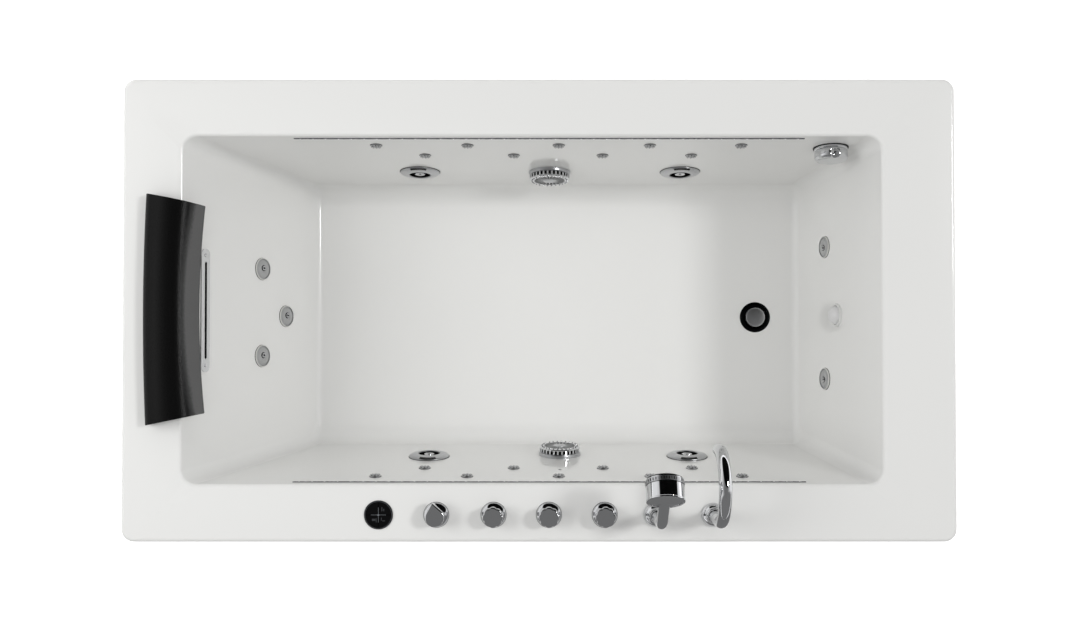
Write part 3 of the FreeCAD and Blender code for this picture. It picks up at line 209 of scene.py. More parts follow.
def add_piece(name, shape, material, body="tub", stands_for=(), bevel=0.0):
    """Make a finished bmesh into an object that rides on a body, with its edges rounded by bevel metres."""
    bmesh.ops.remove_doubles(shape, verts=shape.verts, dist=0.000001)
    bmesh.ops.recalc_face_normals(shape, faces=shape.faces)
    mesh = bpy.data.meshes.new(name)
    shape.to_mesh(mesh)
    shape.free()
    mesh.materials.append(material)
    mesh.shade_smooth()
    item = bpy.data.objects.new(name, mesh)
    bpy.context.scene.collection.objects.link(item)
    if bevel:
        rounding = item.modifiers.new("rounding", "BEVEL")
        rounding.width = bevel
        rounding.segments = 2
        rounding.limit_method = "ANGLE"
        rounding.angle_limit = CRISP_ANGLE
        rounding.harden_normals = True
    else:
        mesh.set_sharp_from_angle(angle=CRISP_ANGLE)
    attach(item, body)
    if stands_for:
        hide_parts(*stands_for)
    return item


def moved(x, y, z, turn=0, axis="Z"):
    """A place given in millimetres, turned by degrees about an axis."""
    return Matrix.Translation(Vector((x, y, z)) * MM) @ Matrix.Rotation(math.radians(turn), 4, axis)


def turned(outline, steps=48, place=Matrix()):
    """Turn an outline of (radius, height) in millimetres about its own Z axis."""
    shape = bmesh.new()
    ring = [shape.verts.new((radius * MM, 0, height * MM)) for radius, height in outline]
    ends = [] if outline[0][0] == 0 else ring[:1]
    edges = [shape.edges.new(pair) for pair in zip(ring, ring[1:] + ends)]
    bmesh.ops.spin(shape, geom=ring + edges, cent=(0, 0, 0), axis=(0, 0, 1), angle=math.tau, steps=steps,
                   use_merge=True)
    bmesh.ops.transform(shape, matrix=place, verts=shape.verts)
    return shape


def bar(width, depth, height, place=Matrix()):
    """A bar of three sizes in millimetres, centred on a place."""
    shape = bmesh.new()
    bmesh.ops.create_cube(shape, size=MM, matrix=place @ Matrix.Diagonal((width, depth, height, 1)))
    return shape


def nut(across, height, place=Matrix()):
    """A hexagon of a size across its flats, standing on a place."""
    shape = bmesh.new()
    radius = across / math.cos(math.pi / 6) / 2 * MM
    bmesh.ops.create_cone(shape, cap_ends=True, segments=6, radius1=radius, radius2=radius,
                          depth=height * MM, matrix=place @ moved(0, 0, height / 2))
    return shape


def repeated(pattern, places):
    """Copies of a pattern at places, in one bmesh. The pattern is used up."""
    mesh = bpy.data.meshes.new("pattern")
    pattern.to_mesh(mesh)
    pattern.free()
    shape = bmesh.new()
    for place in places:
        first = len(shape.verts)
        shape.from_mesh(mesh)
        shape.verts.ensure_lookup_table()
        bmesh.ops.transform(shape, matrix=place, verts=shape.verts[first:])
    bpy.data.meshes.remove(mesh)
    return shape


def around(places, count, radius=0.0, height=0.0):
    """Places evenly round a circle about each given place, each with its X pointing outwards."""
    spread = moved(radius, 0, height)
    return [place @ Matrix.Rotation(math.tau * step / count, 4, "Z") @ spread
            for place in places for step in range(count)]


galvanised, tree = new_material("galvanised_steel", Metallic=0.85, Roughness=0.42)
spangle = textured(tree, "ShaderNodeTexVoronoi", 0.012)
add_node(tree, "ShaderNodeValToRGB", sources={"Fac": (spangle, "Color")}, feeds="Base Color",
         stops=((0, "#868A8D"), (0.2, "#8E9194"), (0.8, "#B4B7B9")))
ranged(tree, spangle, 0.34, 0.52, output="Distance")
finish_node("base_frame", galvanised)

RAIL_LINE = 450
RAIL_TOP = 122.7
POST_PLACES = [moved(x, side * RAIL_LINE, RAIL_TOP) for x in (-780, -480, 470, 780) for side in (-1, 1)]
# Four steps turn the bead's outline into a square, which is then widened to the post's own square.
bead = turned([(20.5, -1), (20.5, 2.5), (23, 0.6), (23.5, -1)], steps=4, place=moved(0, 0, 0, 45))
BEAD_STRETCH = 1.38
BEAD_CUTS = 6
bmesh.ops.scale(bead, vec=(BEAD_STRETCH, BEAD_STRETCH, 1), verts=bead.verts)
bmesh.ops.subdivide_edges(bead, edges=bead.edges, cuts=BEAD_CUTS, use_grid_fill=True)
add_piece("weld_beads", repeated(bead, POST_PLACES), galvanised)


# Levelling feet: zinc-plated studs and lock nuts on pads, with a rolled thread on each stud and a
# plain rubber sole under each pad.
zinc, tree = new_material("zinc_plated_steel", Base_Color="#A9ABA8", Metallic=1.0)
clouded(tree, 0.01, 0.25, 0.45, detail=3.0)
finish_node("levelling_feet", zinc)
rubber, tree = new_material("black_rubber", Base_Color="#17181A", IOR=1.52)
clouded(tree, 0.006, 0.6, 0.8)
FOOT_PLACES = [moved(x, side * RAIL_LINE, 0) for x in (-800, 0, 800) for side in (-1, 1)]
sole = turned([(30.3, 0), (30.3, 3.6), (29, 4.6), (20, 8.4), (13, 14.4), (11.5, 14.6), (11.5, 0)])
add_piece("foot_soles", repeated(sole, FOOT_PLACES), rubber)
THREAD_PITCH, THREAD_TURNS, THREAD_FOOT = 2, 27, 16
THREAD_ROOT, THREAD_CREST, THREAD_CORE = 6.05, 6.5, 5.5
thread = [(THREAD_ROOT if step % 2 else THREAD_CREST, THREAD_FOOT + step * THREAD_PITCH / 2)
          for step in range(2 * THREAD_TURNS)]
threads = turned(thread + [(THREAD_CORE, thread[-1][1]), (THREAD_CORE, THREAD_FOOT)], steps=20)
add_piece("foot_threads", repeated(threads, FOOT_PLACES), zinc)


# Pipes and jet housings: white PVC, extruded or injection moulded, with a soft sheen. Straight pipes
# are glued into sockets, and each jet housing is drawn against the shell by a ribbed lock nut.
pvc, tree = new_material("white_pvc", Base_Color="#DCDCD8", IOR=1.53)
cloud = clouded(tree, 0.02, 0.32, 0.44, detail=3.0)
bumped(tree, cloud, 0.1, 0.0003)
for name in ("jet_bodies", "mini_jet_bodies", "suction_bodies", "waste_pipework", "pressure_pipes",
             "suction_pipes", "air_pipes"):
    finish_node(name, pvc)

JET_PLACES = [on_wall("far", -0.287, 0.290), on_wall("far", 0.339, 0.290),
              on_wall("near", -0.262, 0.270), on_wall("near", 0.352, 0.270)]
MINI_PLACES = [on_wall("head", 0.103, 0.247), on_wall("head", -0.007, 0.329), on_wall("head", -0.103, 0.247),
               on_wall("foot", 0.158, 0.285), on_wall("foot", -0.158, 0.285)]
SUCTION_PLACES = [on_wall("far", 0.025, 0.292), on_wall("near", 0.049, 0.292)]


def lock_nut(bore, reach, ribs):
    """A ring nut behind the shell with ribs round it."""
    ring = turned([(bore, -9.4), (reach - 2, -9.4), (reach, -11), (reach, -18), (reach - 2, -20),
                   (bore, -20)])
    rib = bar(5, 3, 9, moved(reach, 0, -14.7))
    whole = repeated(rib, around([Matrix()], ribs))
    mesh = bpy.data.meshes.new("pattern")
    ring.to_mesh(mesh)
    ring.free()
    whole.from_mesh(mesh)
    bpy.data.meshes.remove(mesh)
    return whole


add_piece("jet_lock_nuts", repeated(lock_nut(38.2, 48, 16), JET_PLACES), pvc)
add_piece("suction_lock_nuts", repeated(lock_nut(42.2, 52, 18), SUCTION_PLACES), pvc)
add_piece("mini_lock_nuts", repeated(lock_nut(19.2, 27, 12), MINI_PLACES), pvc)

# Sockets on the pressure loop: where it turns, and where each riser leaves it.
PRESSURE_LINE, PRESSURE_LEVEL, LOOP_X = 362, 243, -735
socket = turned([(15.1, -24), (18.4, -24), (19, -23.4), (19, -16), (18, -15), (18, 15), (19, 16), (19, 23.4),
                 (18.4, 24), (15.1, 24)], steps=32, place=moved(0, 0, 0, 90, "Y"))
along_pipe = [moved(x, side * PRESSURE_LINE, PRESSURE_LEVEL)
              for side, spots in ((1, (-660, -287, 0)), (-1, (-660, -262, 0))) for x in spots]
across_pipe = [moved(LOOP_X, y, 320, 90) for y in (-290, -60, 60, 290)]
add_piece("pressure_sockets", repeated(socket, along_pipe + across_pipe), pvc)
SUCTION_LINE, PUMP_AXIS = 398, 206
wide_socket = turned([(21.6, -26), (25, -26), (25.6, -25.4), (25.6, -18), (24.6, -17), (24.6, 17), (25.6, 18),
                      (25.6, 25.4), (25, 26), (21.6, 26)], steps=32, place=moved(0, 0, 0, 90, "Y"))
suction_spots = [moved(x, SUCTION_LINE, PUMP_AXIS) for x in (-640, -300, -60)]
add_piece("suction_sockets", repeated(wide_socket, suction_spots), pvc)
slip_nut = turned([(20.1, 0), (27, 0), (28, 1.5), (28, 14), (26, 17), (20.1, 17)], steps=10)
add_piece("waste_slip_nuts", repeated(slip_nut, [moved(646, -7, 72, 90, "Y")]), pvc)


# Water jets: a plated bezel turns in each housing and carries a black cup. A ball nozzle sits in
# the cup, polished, with a lip that a finger can push to point it.
chrome, tree = new_material("polished_chrome_plate", Base_Color="#D4D5D7", Metallic=1.0)
clouded(tree, 0.015, 0.035, 0.08)
satin, tree = new_material("satin_chrome_plate", Base_Color="#BEBFC1", Metallic=1.0)
clouded(tree, 0.002, 0.26, 0.36)
black_abs, tree = new_material("black_abs", Base_Color="#040405", IOR=1.5, Specular_IOR_Level=0.25)
clouded(tree, 0.004, 0.16, 0.26)
for number, wall_place in enumerate(JET_PLACES, 1):
    ring_body = "jet_ring_%d" % number
    bezel = turned([(25.4, 1), (25.4, 7.6), (26.2, 8.6), (28, 9), (33, 8.6), (39, 7.4), (44.5, 5.2),
                    (46.8, 3.4), (47.5, 1.6), (47.3, 0.4), (40, 0.3), (27.2, 0.3)], steps=72,
                   place=wall_place)
    add_piece("jet_bezel_%d" % number, bezel, satin, ring_body, [ring_body])
    cup = turned([(25.3, 6.6), (23.8, 6.8), (23.5, 5), (23.2, -26), (17, -26), (17, -3.6), (16.2, -2.4),
                  (15, -2.4), (14.4, -3.4), (14.4, -26), (12, -27), (8, -27), (8, -29.6), (26.6, -29.6),
                  (26.6, 0.5), (25.3, 0.5)], steps=56, place=wall_place)
    add_piece("jet_cup_%d" % number, cup, black_abs, ring_body)
    vane = bar(8, 2, 20, moved(20, 0, -15.5))
    add_piece("jet_vanes_%d" % number, repeated(vane, around([wall_place], 6)), black_abs,
              ring_body)
    nozzle = turned([(4.5, -12), (4.5, 9), (5.4, 12.6), (7.6, 14.6), (10, 15), (12, 14.4), (12.5, 12.8),
                     (12.1, 10.8), (11.2, 9.4), (11.6, 7.8), (13, 5), (13.9, 1.5), (13.9, -2.5),
                     (12.6, -6.5), (10, -9.8), (7, -12)], steps=48, place=wall_place @ moved(0, 0, -8))
    add_piece("ball_nozzle_%d" % number, nozzle, chrome, "jet_nozzle_%d" % number,
              ["jet_nozzle_%d" % number])
    # A crescent of black bars lies across the upper arc of each bezel, and nowhere else round it.
    mark = bar(5.6, 1.9, 1.4, moved(44, 0, 5.1, 30, "Y"))
    mark_turns = [wall_place @ Matrix.Rotation(math.radians(angle), 4, "Z") for angle in range(66, 115, 3)]
    add_piece("jet_upper_black_bars_%d" % number, repeated(mark, mark_turns), black_abs, ring_body)
gasket = turned([(47.6, 0.05), (48.6, 0.05), (48.4, 0.9), (47.6, 1.1)], steps=64)
add_piece("jet_gaskets", repeated(gasket, JET_PLACES), rubber)

# Small end-wall jets: a pale grey moulded eye turns in a thin satin rim over a rubber seat. Its
# outlet is a plated boss near the middle with a black bore.
grey_abs, tree = new_material("pale_grey_abs", Base_Color="#A8A9A9", IOR=1.54)
clouded(tree, 0.004, 0.2, 0.3)
rim = turned([(22.95, 1), (22.95, 4.4), (23.4, 4.9), (24.2, 4.6), (24.8, 3.6), (25, 2.4), (25.1, 0.3),
              (24, 0.2)], steps=56)
add_piece("mini_jet_rims", repeated(rim, MINI_PLACES), satin)
seat = turned([(25.2, 0.05), (26.4, 0.05), (26.2, 1), (25.2, 1.5)], steps=56)
add_piece("mini_jet_seats", repeated(seat, MINI_PLACES), rubber)
OUTLET_OFFSET = 2
for number, wall_place in enumerate(MINI_PLACES, 1):
    eye_body = "mini_jet_eye_%d" % number
    eye = turned([(0, 3.8), (8.6, 3.8), (9.4, 4.6), (13, 5), (17.2, 4.4), (17.8, 3.7), (19.6, 3.6),
                  (20.2, 4.3), (21.6, 3.9), (22.6, 2.8), (22.7, -8), (14.6, -8.4), (14.6, -20), (0, -20)],
                 56, wall_place)
    add_piece("mini_jet_face_%d" % number, eye, grey_abs, eye_body, [eye_body])
    outlet = wall_place @ moved(OUTLET_OFFSET, 0, 3.8)
    boss = turned([(2.7, 0.1), (2.7, 2), (3.4, 2.9), (4.8, 3), (5.4, 2.2), (5.6, 0.1)], 32, outlet)
    add_piece("mini_jet_boss_%d" % number, boss, chrome, eye_body)
    bore = turned([(0, 0.05), (2.7, 0.05), (2.7, 0.5), (0, 0.5)], 24, outlet)
    add_piece("mini_jet_bore_%d" % number, bore, black_abs, eye_body)
    groove = turned([(5.6, 0.02), (7.3, 0.02), (7.3, 0.35), (5.6, 0.35)], 32, outlet)
    add_piece("mini_jet_groove_%d" % number, groove, black_abs, eye_body)

# Air jets: small plated caps pushed into the wall, each with a groove and eight dark slots round a
# drilled middle.
AIR_MIDDLE, AIR_PITCH = 0.0435, 0.2028
AIR_ROWS = ((0.072, (-2, -1, 0, 1, 2)), (0.150, (-1.5, -0.5, 0.5, 1.5)))
AIR_PLACES = [on_wall(side, AIR_MIDDLE + step * AIR_PITCH, depth)
              for side in ("far", "near") for depth, steps in AIR_ROWS for step in steps]
cap = turned([(0, 1), (2, 1.2), (2.2, 4.6), (2.8, 5), (4.8, 4.9), (5.2, 4.2), (5.4, 2.6), (6.2, 2.6),
              (6.5, 4.2), (7.2, 4.5), (9.4, 3.8), (11.4, 2.4), (12.3, 1.2), (12.5, 0.1), (11, -1),
              (5.6, -1), (5.6, -20), (0, -20)], steps=32)
add_piece("air_caps", repeated(cap, AIR_PLACES), satin, stands_for=["air_jets"])
slot_bar = bar(4.6, 1.8, 1.2, moved(8.6, 0, 3.7))
add_piece("air_cap_slots", repeated(slot_bar, around(AIR_PLACES, 8)), black_abs)
seat = turned([(12.6, 0.05), (13.5, 0.05), (13.3, 0.7), (12.6, 0.8)], steps=32)
add_piece("air_gaskets", repeated(seat, AIR_PLACES), rubber)

# Suction covers: a plated drum with tall openings round its side and slots across its face, over a
# black strainer, so that hair and limbs cannot be drawn in. Small bumps ring the face.
strainer = turned([(0, 17), (40, 17), (42.6, 15.6), (43, 8), (43, 0.4), (0, 0.4)], steps=64)
add_piece("suction_strainers", repeated(strainer, SUCTION_PLACES), black_abs)
skirt = turned([(50, 0.2), (50, 6.6), (49.4, 8), (47.6, 8.6), (44.6, 8.2), (43.4, 6), (43.4, 0.2)], steps=72)
add_piece("suction_rims", repeated(skirt, SUCTION_PLACES), satin, stands_for=["suction_covers"])
post = bar(4.6, 4.4, 11, moved(45.6, 0, 13))
add_piece("suction_posts", repeated(post, around(SUCTION_PLACES, 30)), chrome, bevel=0.8 * MM)
hoop = turned([(48, 17.6), (48.2, 19), (47, 20.6), (43.6, 21.6), (38.6, 22.2), (36.6, 21.6), (36.4, 18.2),
               (41, 16.8)], steps=72)
add_piece("suction_hoops", repeated(hoop, SUCTION_PLACES), chrome)
bump = turned([(0, 24.2), (1.1, 24), (1.9, 23.2), (2.2, 22), (2.2, 20.4), (0, 20.4)], steps=12)
add_piece("suction_bumps", repeated(bump, around(SUCTION_PLACES, 26, 42.4)), chrome)
spoke = bar(25, 2.6, 3.2, moved(25, 0, 19.8))
add_piece("suction_spokes", repeated(spoke, around(SUCTION_PLACES, 24)), satin)
middle = turned([(0, 24.4), (8, 24.2), (13, 23.4), (15.4, 22), (15.8, 20), (15.8, 17), (0, 17)], steps=56)
add_piece("suction_caps", repeated(middle, SUCTION_PLACES), satin)

# Drain and overflow: cast brass, plated. The flange is dished and coloured near black, a painted dark
# reflection of its plate. A rubber ring seals its mushroom plug. The knob on the far wall has three
# finger dimples and works the plug by a cable.
finish_node("overflow_body", chrome)
# Plated metal coloured near black: a painted dark reflection on the drain's flange and dish.
dark_reflection_chrome, tree = new_material("dark_reflection_chrome_plate", Base_Color="#17181A", Metallic=1.0)
clouded(tree, 0.01, 0.1, 0.18)
finish_node("drain_flange", dark_reflection_chrome)
DRAIN_X, DRAIN_Y, BASIN_FLOOR = 548, -7, 150
DRAIN_PLACE = moved(DRAIN_X, DRAIN_Y, BASIN_FLOOR)
dish = turned([(25.6, 0.4), (27, 2.7), (30, 3), (35.4, 2.7), (37.7, 1.4), (38.4, 0.2), (26, 0.2)], 72,
              DRAIN_PLACE)
add_piece("drain_dish", dish, dark_reflection_chrome)
plug_foot, plug_top = (corner.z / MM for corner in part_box("drain_plug"))
PLUG_PLACE = moved(DRAIN_X, DRAIN_Y, plug_top)
plug = turned([(0, 0), (20.6, 0), (22.6, -0.3), (23.7, -1.2), (24, -2.6), (24, -5), (22, -6.6), (6, -7.4),
               (3, -10), (3, plug_foot - plug_top), (0, plug_foot - plug_top)], 64, PLUG_PLACE)
add_piece("plug_mushroom", plug, satin, "drain_plug", ["drain_plug"])
seal = turned([(22.4, -7.4), (24.2, -6.8), (24.6, -5.9), (24.2, -5), (22.4, -5)],
              place=PLUG_PLACE)
add_piece("plug_seal", seal, rubber, "drain_plug")
OVERFLOW_PLACE = on_wall("far", 0.653, 0.092)
gasket = turned([(37.1, 0.05), (39.2, 0.05), (39, 1.8), (37.1, 2.4)], 64, OVERFLOW_PLACE)
add_piece("overflow_gasket", gasket, rubber)
drum = turned([(0, 31), (22, 31), (28.6, 30.6), (33, 29), (35.6, 26), (36.6, 22), (36.8, 16), (36.8, 10.4),
               (36.2, 9), (35, 8.4), (21, 8.4), (21, 10), (0, 10)], steps=96)
bmesh.ops.subdivide_edges(drum, edges=drum.edges, cuts=1, use_grid_fill=True)
# The dimples are round hollows in the drum's side, kept clear of the wall. The middle of each lies
# just outside the drum.
SCOOP_COUNT, SCOOP_MIDDLE, SCOOP_ROUND, SCOOP_DEEP, SCOOP_BACK = 3, 38, 10, 6, 12
SCOOP_STEP, SCOOP_START = math.tau / SCOOP_COUNT, math.pi / 2
for corner in drum.verts:
    if corner.co.z < SCOOP_BACK * MM:
        continue
    heading = math.atan2(corner.co.y, corner.co.x) - SCOOP_START
    nearest = round(heading / SCOOP_STEP) * SCOOP_STEP + SCOOP_START
    gap = math.hypot(corner.co.x / MM - SCOOP_MIDDLE * math.cos(nearest),
                     corner.co.y / MM - SCOOP_MIDDLE * math.sin(nearest))
    share = max(0.0, 1 - gap / SCOOP_ROUND)
    corner.co.xy *= 1 - SCOOP_DEEP * share ** 0.7 / SCOOP_MIDDLE
bmesh.ops.transform(drum, matrix=OVERFLOW_PLACE, verts=drum.verts)
add_piece("overflow_drum", drum, chrome, "overflow_knob", ["overflow_knob"])
finish_node("popup_cable", black_abs)


# Waterfall: a plated brass plate with a long slot, held by a round-headed screw at each end. The
# water comes as a sheet out of the black throat behind the slot.
finish_node("waterfall_plate", chrome)
WATERFALL_PLACE = on_wall("head", 0, 0.067)
throat = bar(212, 3.4, 5, WATERFALL_PLACE @ moved(0, 0, 2.6))
add_piece("waterfall_throat", throat, black_abs, bevel=0.8 * MM)
seat_strip = bar(243, 27.4, 0.5, WATERFALL_PLACE @ moved(0, 0, 0.3))
add_piece("waterfall_seat", seat_strip, rubber)
screw = turned([(0, 3), (0, 4.1), (3, 4), (4.3, 3.4), (4.5, 2.9)], steps=28)
screw_spots = [WATERFALL_PLACE @ moved(side * 122, 0, 0) for side in (-1, 1)]
add_piece("waterfall_screws", repeated(screw, screw_spots), chrome)


# Underwater light: a frosted acrylic dome in a white moulded ring, which four small screws hold to
# its housing behind the shell.
white_abs, tree = new_material("white_abs", Base_Color="#E4E4E2", IOR=1.54)
clouded(tree, 0.005, 0.2, 0.3)
frosted, tree = new_material("frosted_acrylic", Base_Color="#EAEAEA", Roughness=0.3, IOR=1.49,
                             Transmission_Weight=0.1)
cloud = clouded(tree, 0.003, 0.26, 0.38)
bumped(tree, cloud, 0.1, 0.0002)
finish_node("light_housing", white_abs)
LIGHT_PLACE = on_wall("foot", -0.007, 0.221)
dome = turned([(0, 20), (6, 19.5), (11, 17.9), (15.4, 15.2), (18.8, 11.6), (21, 7.6), (22, 3.6),
               (22.2, 0.4), (0, 0.4)], 64, LIGHT_PLACE)
add_piece("light_dome", dome, frosted, stands_for=["light_lens"])
screw = turned([(0, 5.2), (1.6, 5.1), (1.9, 4.4), (0, 4.4)], steps=16)
add_piece("light_screws", repeated(screw, around([LIGHT_PLACE], 4, 24.6)), white_abs)
gasket = turned([(27.1, 0.05), (28, 0.05), (27.8, 0.8), (27.1, 1)], 56, LIGHT_PLACE)
add_piece("light_gasket", gasket, white_abs)


# Light strips: extruded smoked acrylic let into the long walls just under the opening's edge, with
# a frosted bead over each diode.
smoked, tree = new_material("smoked_acrylic", Base_Color="#55565A", IOR=1.49)
clouded(tree, 0.01, 0.2, 0.34)
finish_node("led_strips", smoked)
diode = turned([(0, 1), (1.5, 1), (1.3, 2), (0.8, 2.4), (0, 2.5)], steps=12)
DIODE_COUNT, DIODE_PITCH, STRIP_MIDDLE, STRIP_DEPTH = 40, 0.0278, 0.022, 0.020
strip_places = [on_wall(side, STRIP_MIDDLE + (step - (DIODE_COUNT - 1) / 2) * DIODE_PITCH, STRIP_DEPTH)
                for side in ("far", "near") for step in range(DIODE_COUNT)]
add_piece("strip_beads", repeated(diode, strip_places), frosted)

# A level sensor sits low in the near wall: a small steel button.
sensor = turned([(0, 0.1), (0, 1.6), (1.6, 1.5), (2, 0.8), (3.6, 0.8), (4, 0.1)], 24,
                on_wall("near", 0.047, 0.137))
add_piece("level_sensor", sensor, satin)


# Keypad: a round black moulding let into the rim. Its four sprung quarters are parted by a pale
# cross that lights up, with a plain moulded mark on three of them.
finish_node("keypad_housing", black_abs)
DECK_LINE, DECK_TOP = -441, 600
KEYPAD_PLACE = moved(-345, DECK_LINE, DECK_TOP)
grey_print, tree = new_material("grey_screen_ink", Base_Color="#36383B", IOR=1.5)
clouded(tree, 0.001, 0.4, 0.55)
for number in range(1, 5):
    finish_node("keypad_key_%d" % number, black_abs)
ring = turned([(27.9, 3), (28.3, 3.3), (29.5, 3.3), (29.9, 3)], 72, KEYPAD_PLACE)
add_piece("keypad_ring", ring, grey_print)
pale, tree = new_material("pale_diffuser", Base_Color="#6C7074", IOR=1.49)
clouded(tree, 0.002, 0.3, 0.45)
CROSS_PLACE = KEYPAD_PLACE @ moved(0, 0, 1.9)
add_piece("keypad_cross", bar(32, 0.7, 1.6, CROSS_PLACE), pale)
add_piece("keypad_cross_bar", bar(0.7, 32, 1.6, CROSS_PLACE), pale)
centre = turned([(0, 2.65), (2.3, 2.65), (2, 3.1), (0, 3.3)], 24, KEYPAD_PLACE)
add_piece("keypad_centre", centre, pale)
# Each mark is two plain bars.
MARKS = {1: [bar(2, 8.5, 0.3, moved(7.6, 12.2, 2.6)), bar(2, 5.5, 0.3, moved(11.6, 10.6, 2.6))],
         3: [bar(7.5, 4.6, 0.3, moved(-10, -10.4, 2.6)), bar(1.6, 8.5, 0.3, moved(-4.6, -11.6, 2.6))],
         4: [bar(1.4, 6.5, 0.3, moved(6.4, -8.8, 2.6)), bar(6, 1.6, 0.3, moved(11.2, -12.6, 2.6))]}
for number, marks in MARKS.items():
    for part, mark in enumerate(marks, 1):
        add_piece("key_%d_mark_%d" % (number, part), repeated(mark, [KEYPAD_PLACE]), grey_print,
                  "keypad_key_%d" % number)


# Deck valves: plated brass knobs over plated skirts. Hot, cold and the diverter have eight lobes,
# and the air regulator is drawn out to a point.
VALVE_PLACES = [moved(x, DECK_LINE, DECK_TOP) for x in (-221, -98, 21, 141)]
skirt = turned([(16.1, 0.1), (27, 0.1), (26.9, 2), (26.1, 3.9), (24.2, 6), (21.4, 8), (18.6, 9.5), (17, 10.4),
                (16.6, 11.6), (16.6, 14), (16.1, 14)], steps=72)
add_piece("knob_skirts", repeated(skirt, VALVE_PLACES), chrome, stands_for=["valve_skirts"])
washer = turned([(27.1, 0.05), (27.8, 0.05), (27.6, 0.8), (27.1, 1)], steps=56)
add_piece("skirt_washers", repeated(washer, VALVE_PLACES), rubber)
GRIP = [(0, 42.3), (17.2, 42.3), (20.4, 42.25), (21.2, 41.9), (21.7, 41.2), (22, 39.6), (22, 34), (22, 25),
        (21.5, 21), (20, 18.8), (17.6, 18), (16.4, 16.6), (16.2, 14.5), (4.6, 14.5), (4.6, 12), (0, 12)]
GRIP_ROUND, GRIP_CORE = 22, 17
LOBE_COUNT, LOBE_DEPTH, LOBE_CURVE = 8, 2.1, 1.5
POINT_ROUND, POINT_REACH, POINT_TURN = 20, 31, math.radians(100)
flank_turn = math.acos(POINT_ROUND / POINT_REACH)
for number, (name, valve_place) in enumerate(zip(("air_regulator_knob", "hot_water_knob", "cold_water_knob",
                                                  "diverter_knob"), VALVE_PLACES)):
    grip = turned(GRIP, steps=96)
    for corner in grip.verts:
        heading = math.atan2(corner.co.y, corner.co.x)
        reach = math.hypot(corner.co.x, corner.co.y) / MM
        if reach < GRIP_CORE:
            continue
        if number:
            wave = abs(math.cos(LOBE_COUNT / 2 * heading))
            wanted = GRIP_ROUND - LOBE_DEPTH * (1 - wave) ** LOBE_CURVE
        else:
            off_point = abs((heading - POINT_TURN + math.pi) % math.tau - math.pi)
            wanted = POINT_ROUND / math.cos(min(0, off_point - flank_turn))
        corner.co.xy *= (wanted - (GRIP_ROUND - reach)) / reach
    bmesh.ops.transform(grip, matrix=valve_place, verts=grip.verts)
    add_piece(name + "_grip", grip, chrome, name, [name])


# Hand shower: a plated drum on a plated handle that stands in a deck socket. A ribbed collar turns
# at the front of the drum, and rubber nibs on the spray face let scale be rubbed off.
finish_node("hand_shower", chrome)
finish_node("hand_shower_face", black_abs)
SHOWER_PLACE = moved(250, DECK_LINE, DECK_TOP)
holder = turned([(12.4, -74.9), (17, -74.9), (17, 0.1), (26, 0.1), (26, 2.2), (25.3, 5), (23.7, 8.4),
                 (21.2, 11.8), (18.2, 14.6), (15.8, 16.8), (15, 19), (15.4, 20.4), (15.8, 21.4), (15.8, 25),
                 (15, 26), (12.4, 26)], 72, SHOWER_PLACE)
add_piece("shower_holder_dome", holder, chrome, stands_for=["shower_holder"])
HEAD_PLACE = SHOWER_PLACE @ moved(0, 78, 195) @ Matrix.Rotation(math.radians(-116), 4, "X")
band = turned([(38.45, 8.6), (38.9, 8.8), (38.9, 17.6), (38.45, 17.9), (37.5, 17.9), (37.5, 8.6)], 72,
              HEAD_PLACE)
add_piece("shower_collar", band, satin, "hand_shower")
rib = bar(0.7, 1.6, 6, moved(38.9, 0, 13.2))
add_piece("shower_collar_ribs", repeated(rib, around([HEAD_PLACE], 48)), chrome, "hand_shower")
notch = bar(0.5, 2.2, 5.6, moved(39.1, 0, 13))
notch_places = [HEAD_PLACE @ Matrix.Rotation(math.radians(angle), 4, "Z")
                for angle in (-152, -142, -132, -122)]
add_piece("shower_collar_notches", repeated(notch, notch_places), black_abs, "hand_shower")
gap = turned([(38.45, 6.6), (38.75, 6.9), (38.75, 7.9), (38.45, 8.2), (37.5, 8.2), (37.5, 6.6)], 72,
             HEAD_PLACE)
add_piece("shower_joint", gap, black_abs, "hand_shower")
back = turned([(31.5, -25.4), (33.5, -25.6), (36.6, -25.2), (38.3, -23.8), (38.7, -22.4), (38.3, -21.6),
               (31.5, -24.6)], 72, HEAD_PLACE)
add_piece("shower_back_rim", back, chrome, "hand_shower")
nib = turned([(0, 4.6), (1.7, 4.6), (1.3, 6.1), (0.8, 6.6), (0, 6.6)], steps=10)
face_place = HEAD_PLACE @ moved(0, 0, 19)
nib_places = [place for count, radius in ((6, 7), (12, 14), (18, 21), (24, 28))
              for place in around([face_place], count, radius)]
add_piece("spray_nibs", repeated(nib, nib_places), rubber, "hand_shower")
ferrule = turned([(12.1, 26.4), (13.4, 26.4), (13.8, 27.4), (13.8, 31), (13.2, 32), (12.1, 32)], 48,
                 SHOWER_PLACE)
add_piece("handle_ferrule", ferrule, chrome, "hand_shower")


# Spout: a bent plated brass tube that swivels in a deck base. A streamer with eight ribs sits
# in its open end.
finish_node("spout", chrome)
SPOUT_PLACE = moved(374, DECK_LINE, DECK_TOP)
dome = turned([(13.9, -59.9), (17, -59.9), (17, 0.1), (26, 0.1), (26, 2.2), (25.3, 5), (23.7, 8.4),
               (21.4, 11.6), (18.8, 14.4), (16.8, 16.6), (16, 18.6), (16.2, 20), (16.8, 21), (16.8, 23.2),
               (16, 24), (13.9, 24)], 72, SPOUT_PLACE)
add_piece("spout_dome", dome, chrome, stands_for=["spout_base"])
outlet_place = SPOUT_PLACE @ moved(0, 146, 83)
streamer = turned([(10.9, 0.5), (10.9, 14), (9, 14), (8.6, 1.6), (9, 0.5)], 48, outlet_place)
add_piece("spout_streamer", streamer, black_abs, "spout")
vane = bar(17.4, 0.8, 6, moved(0, 0, 6))
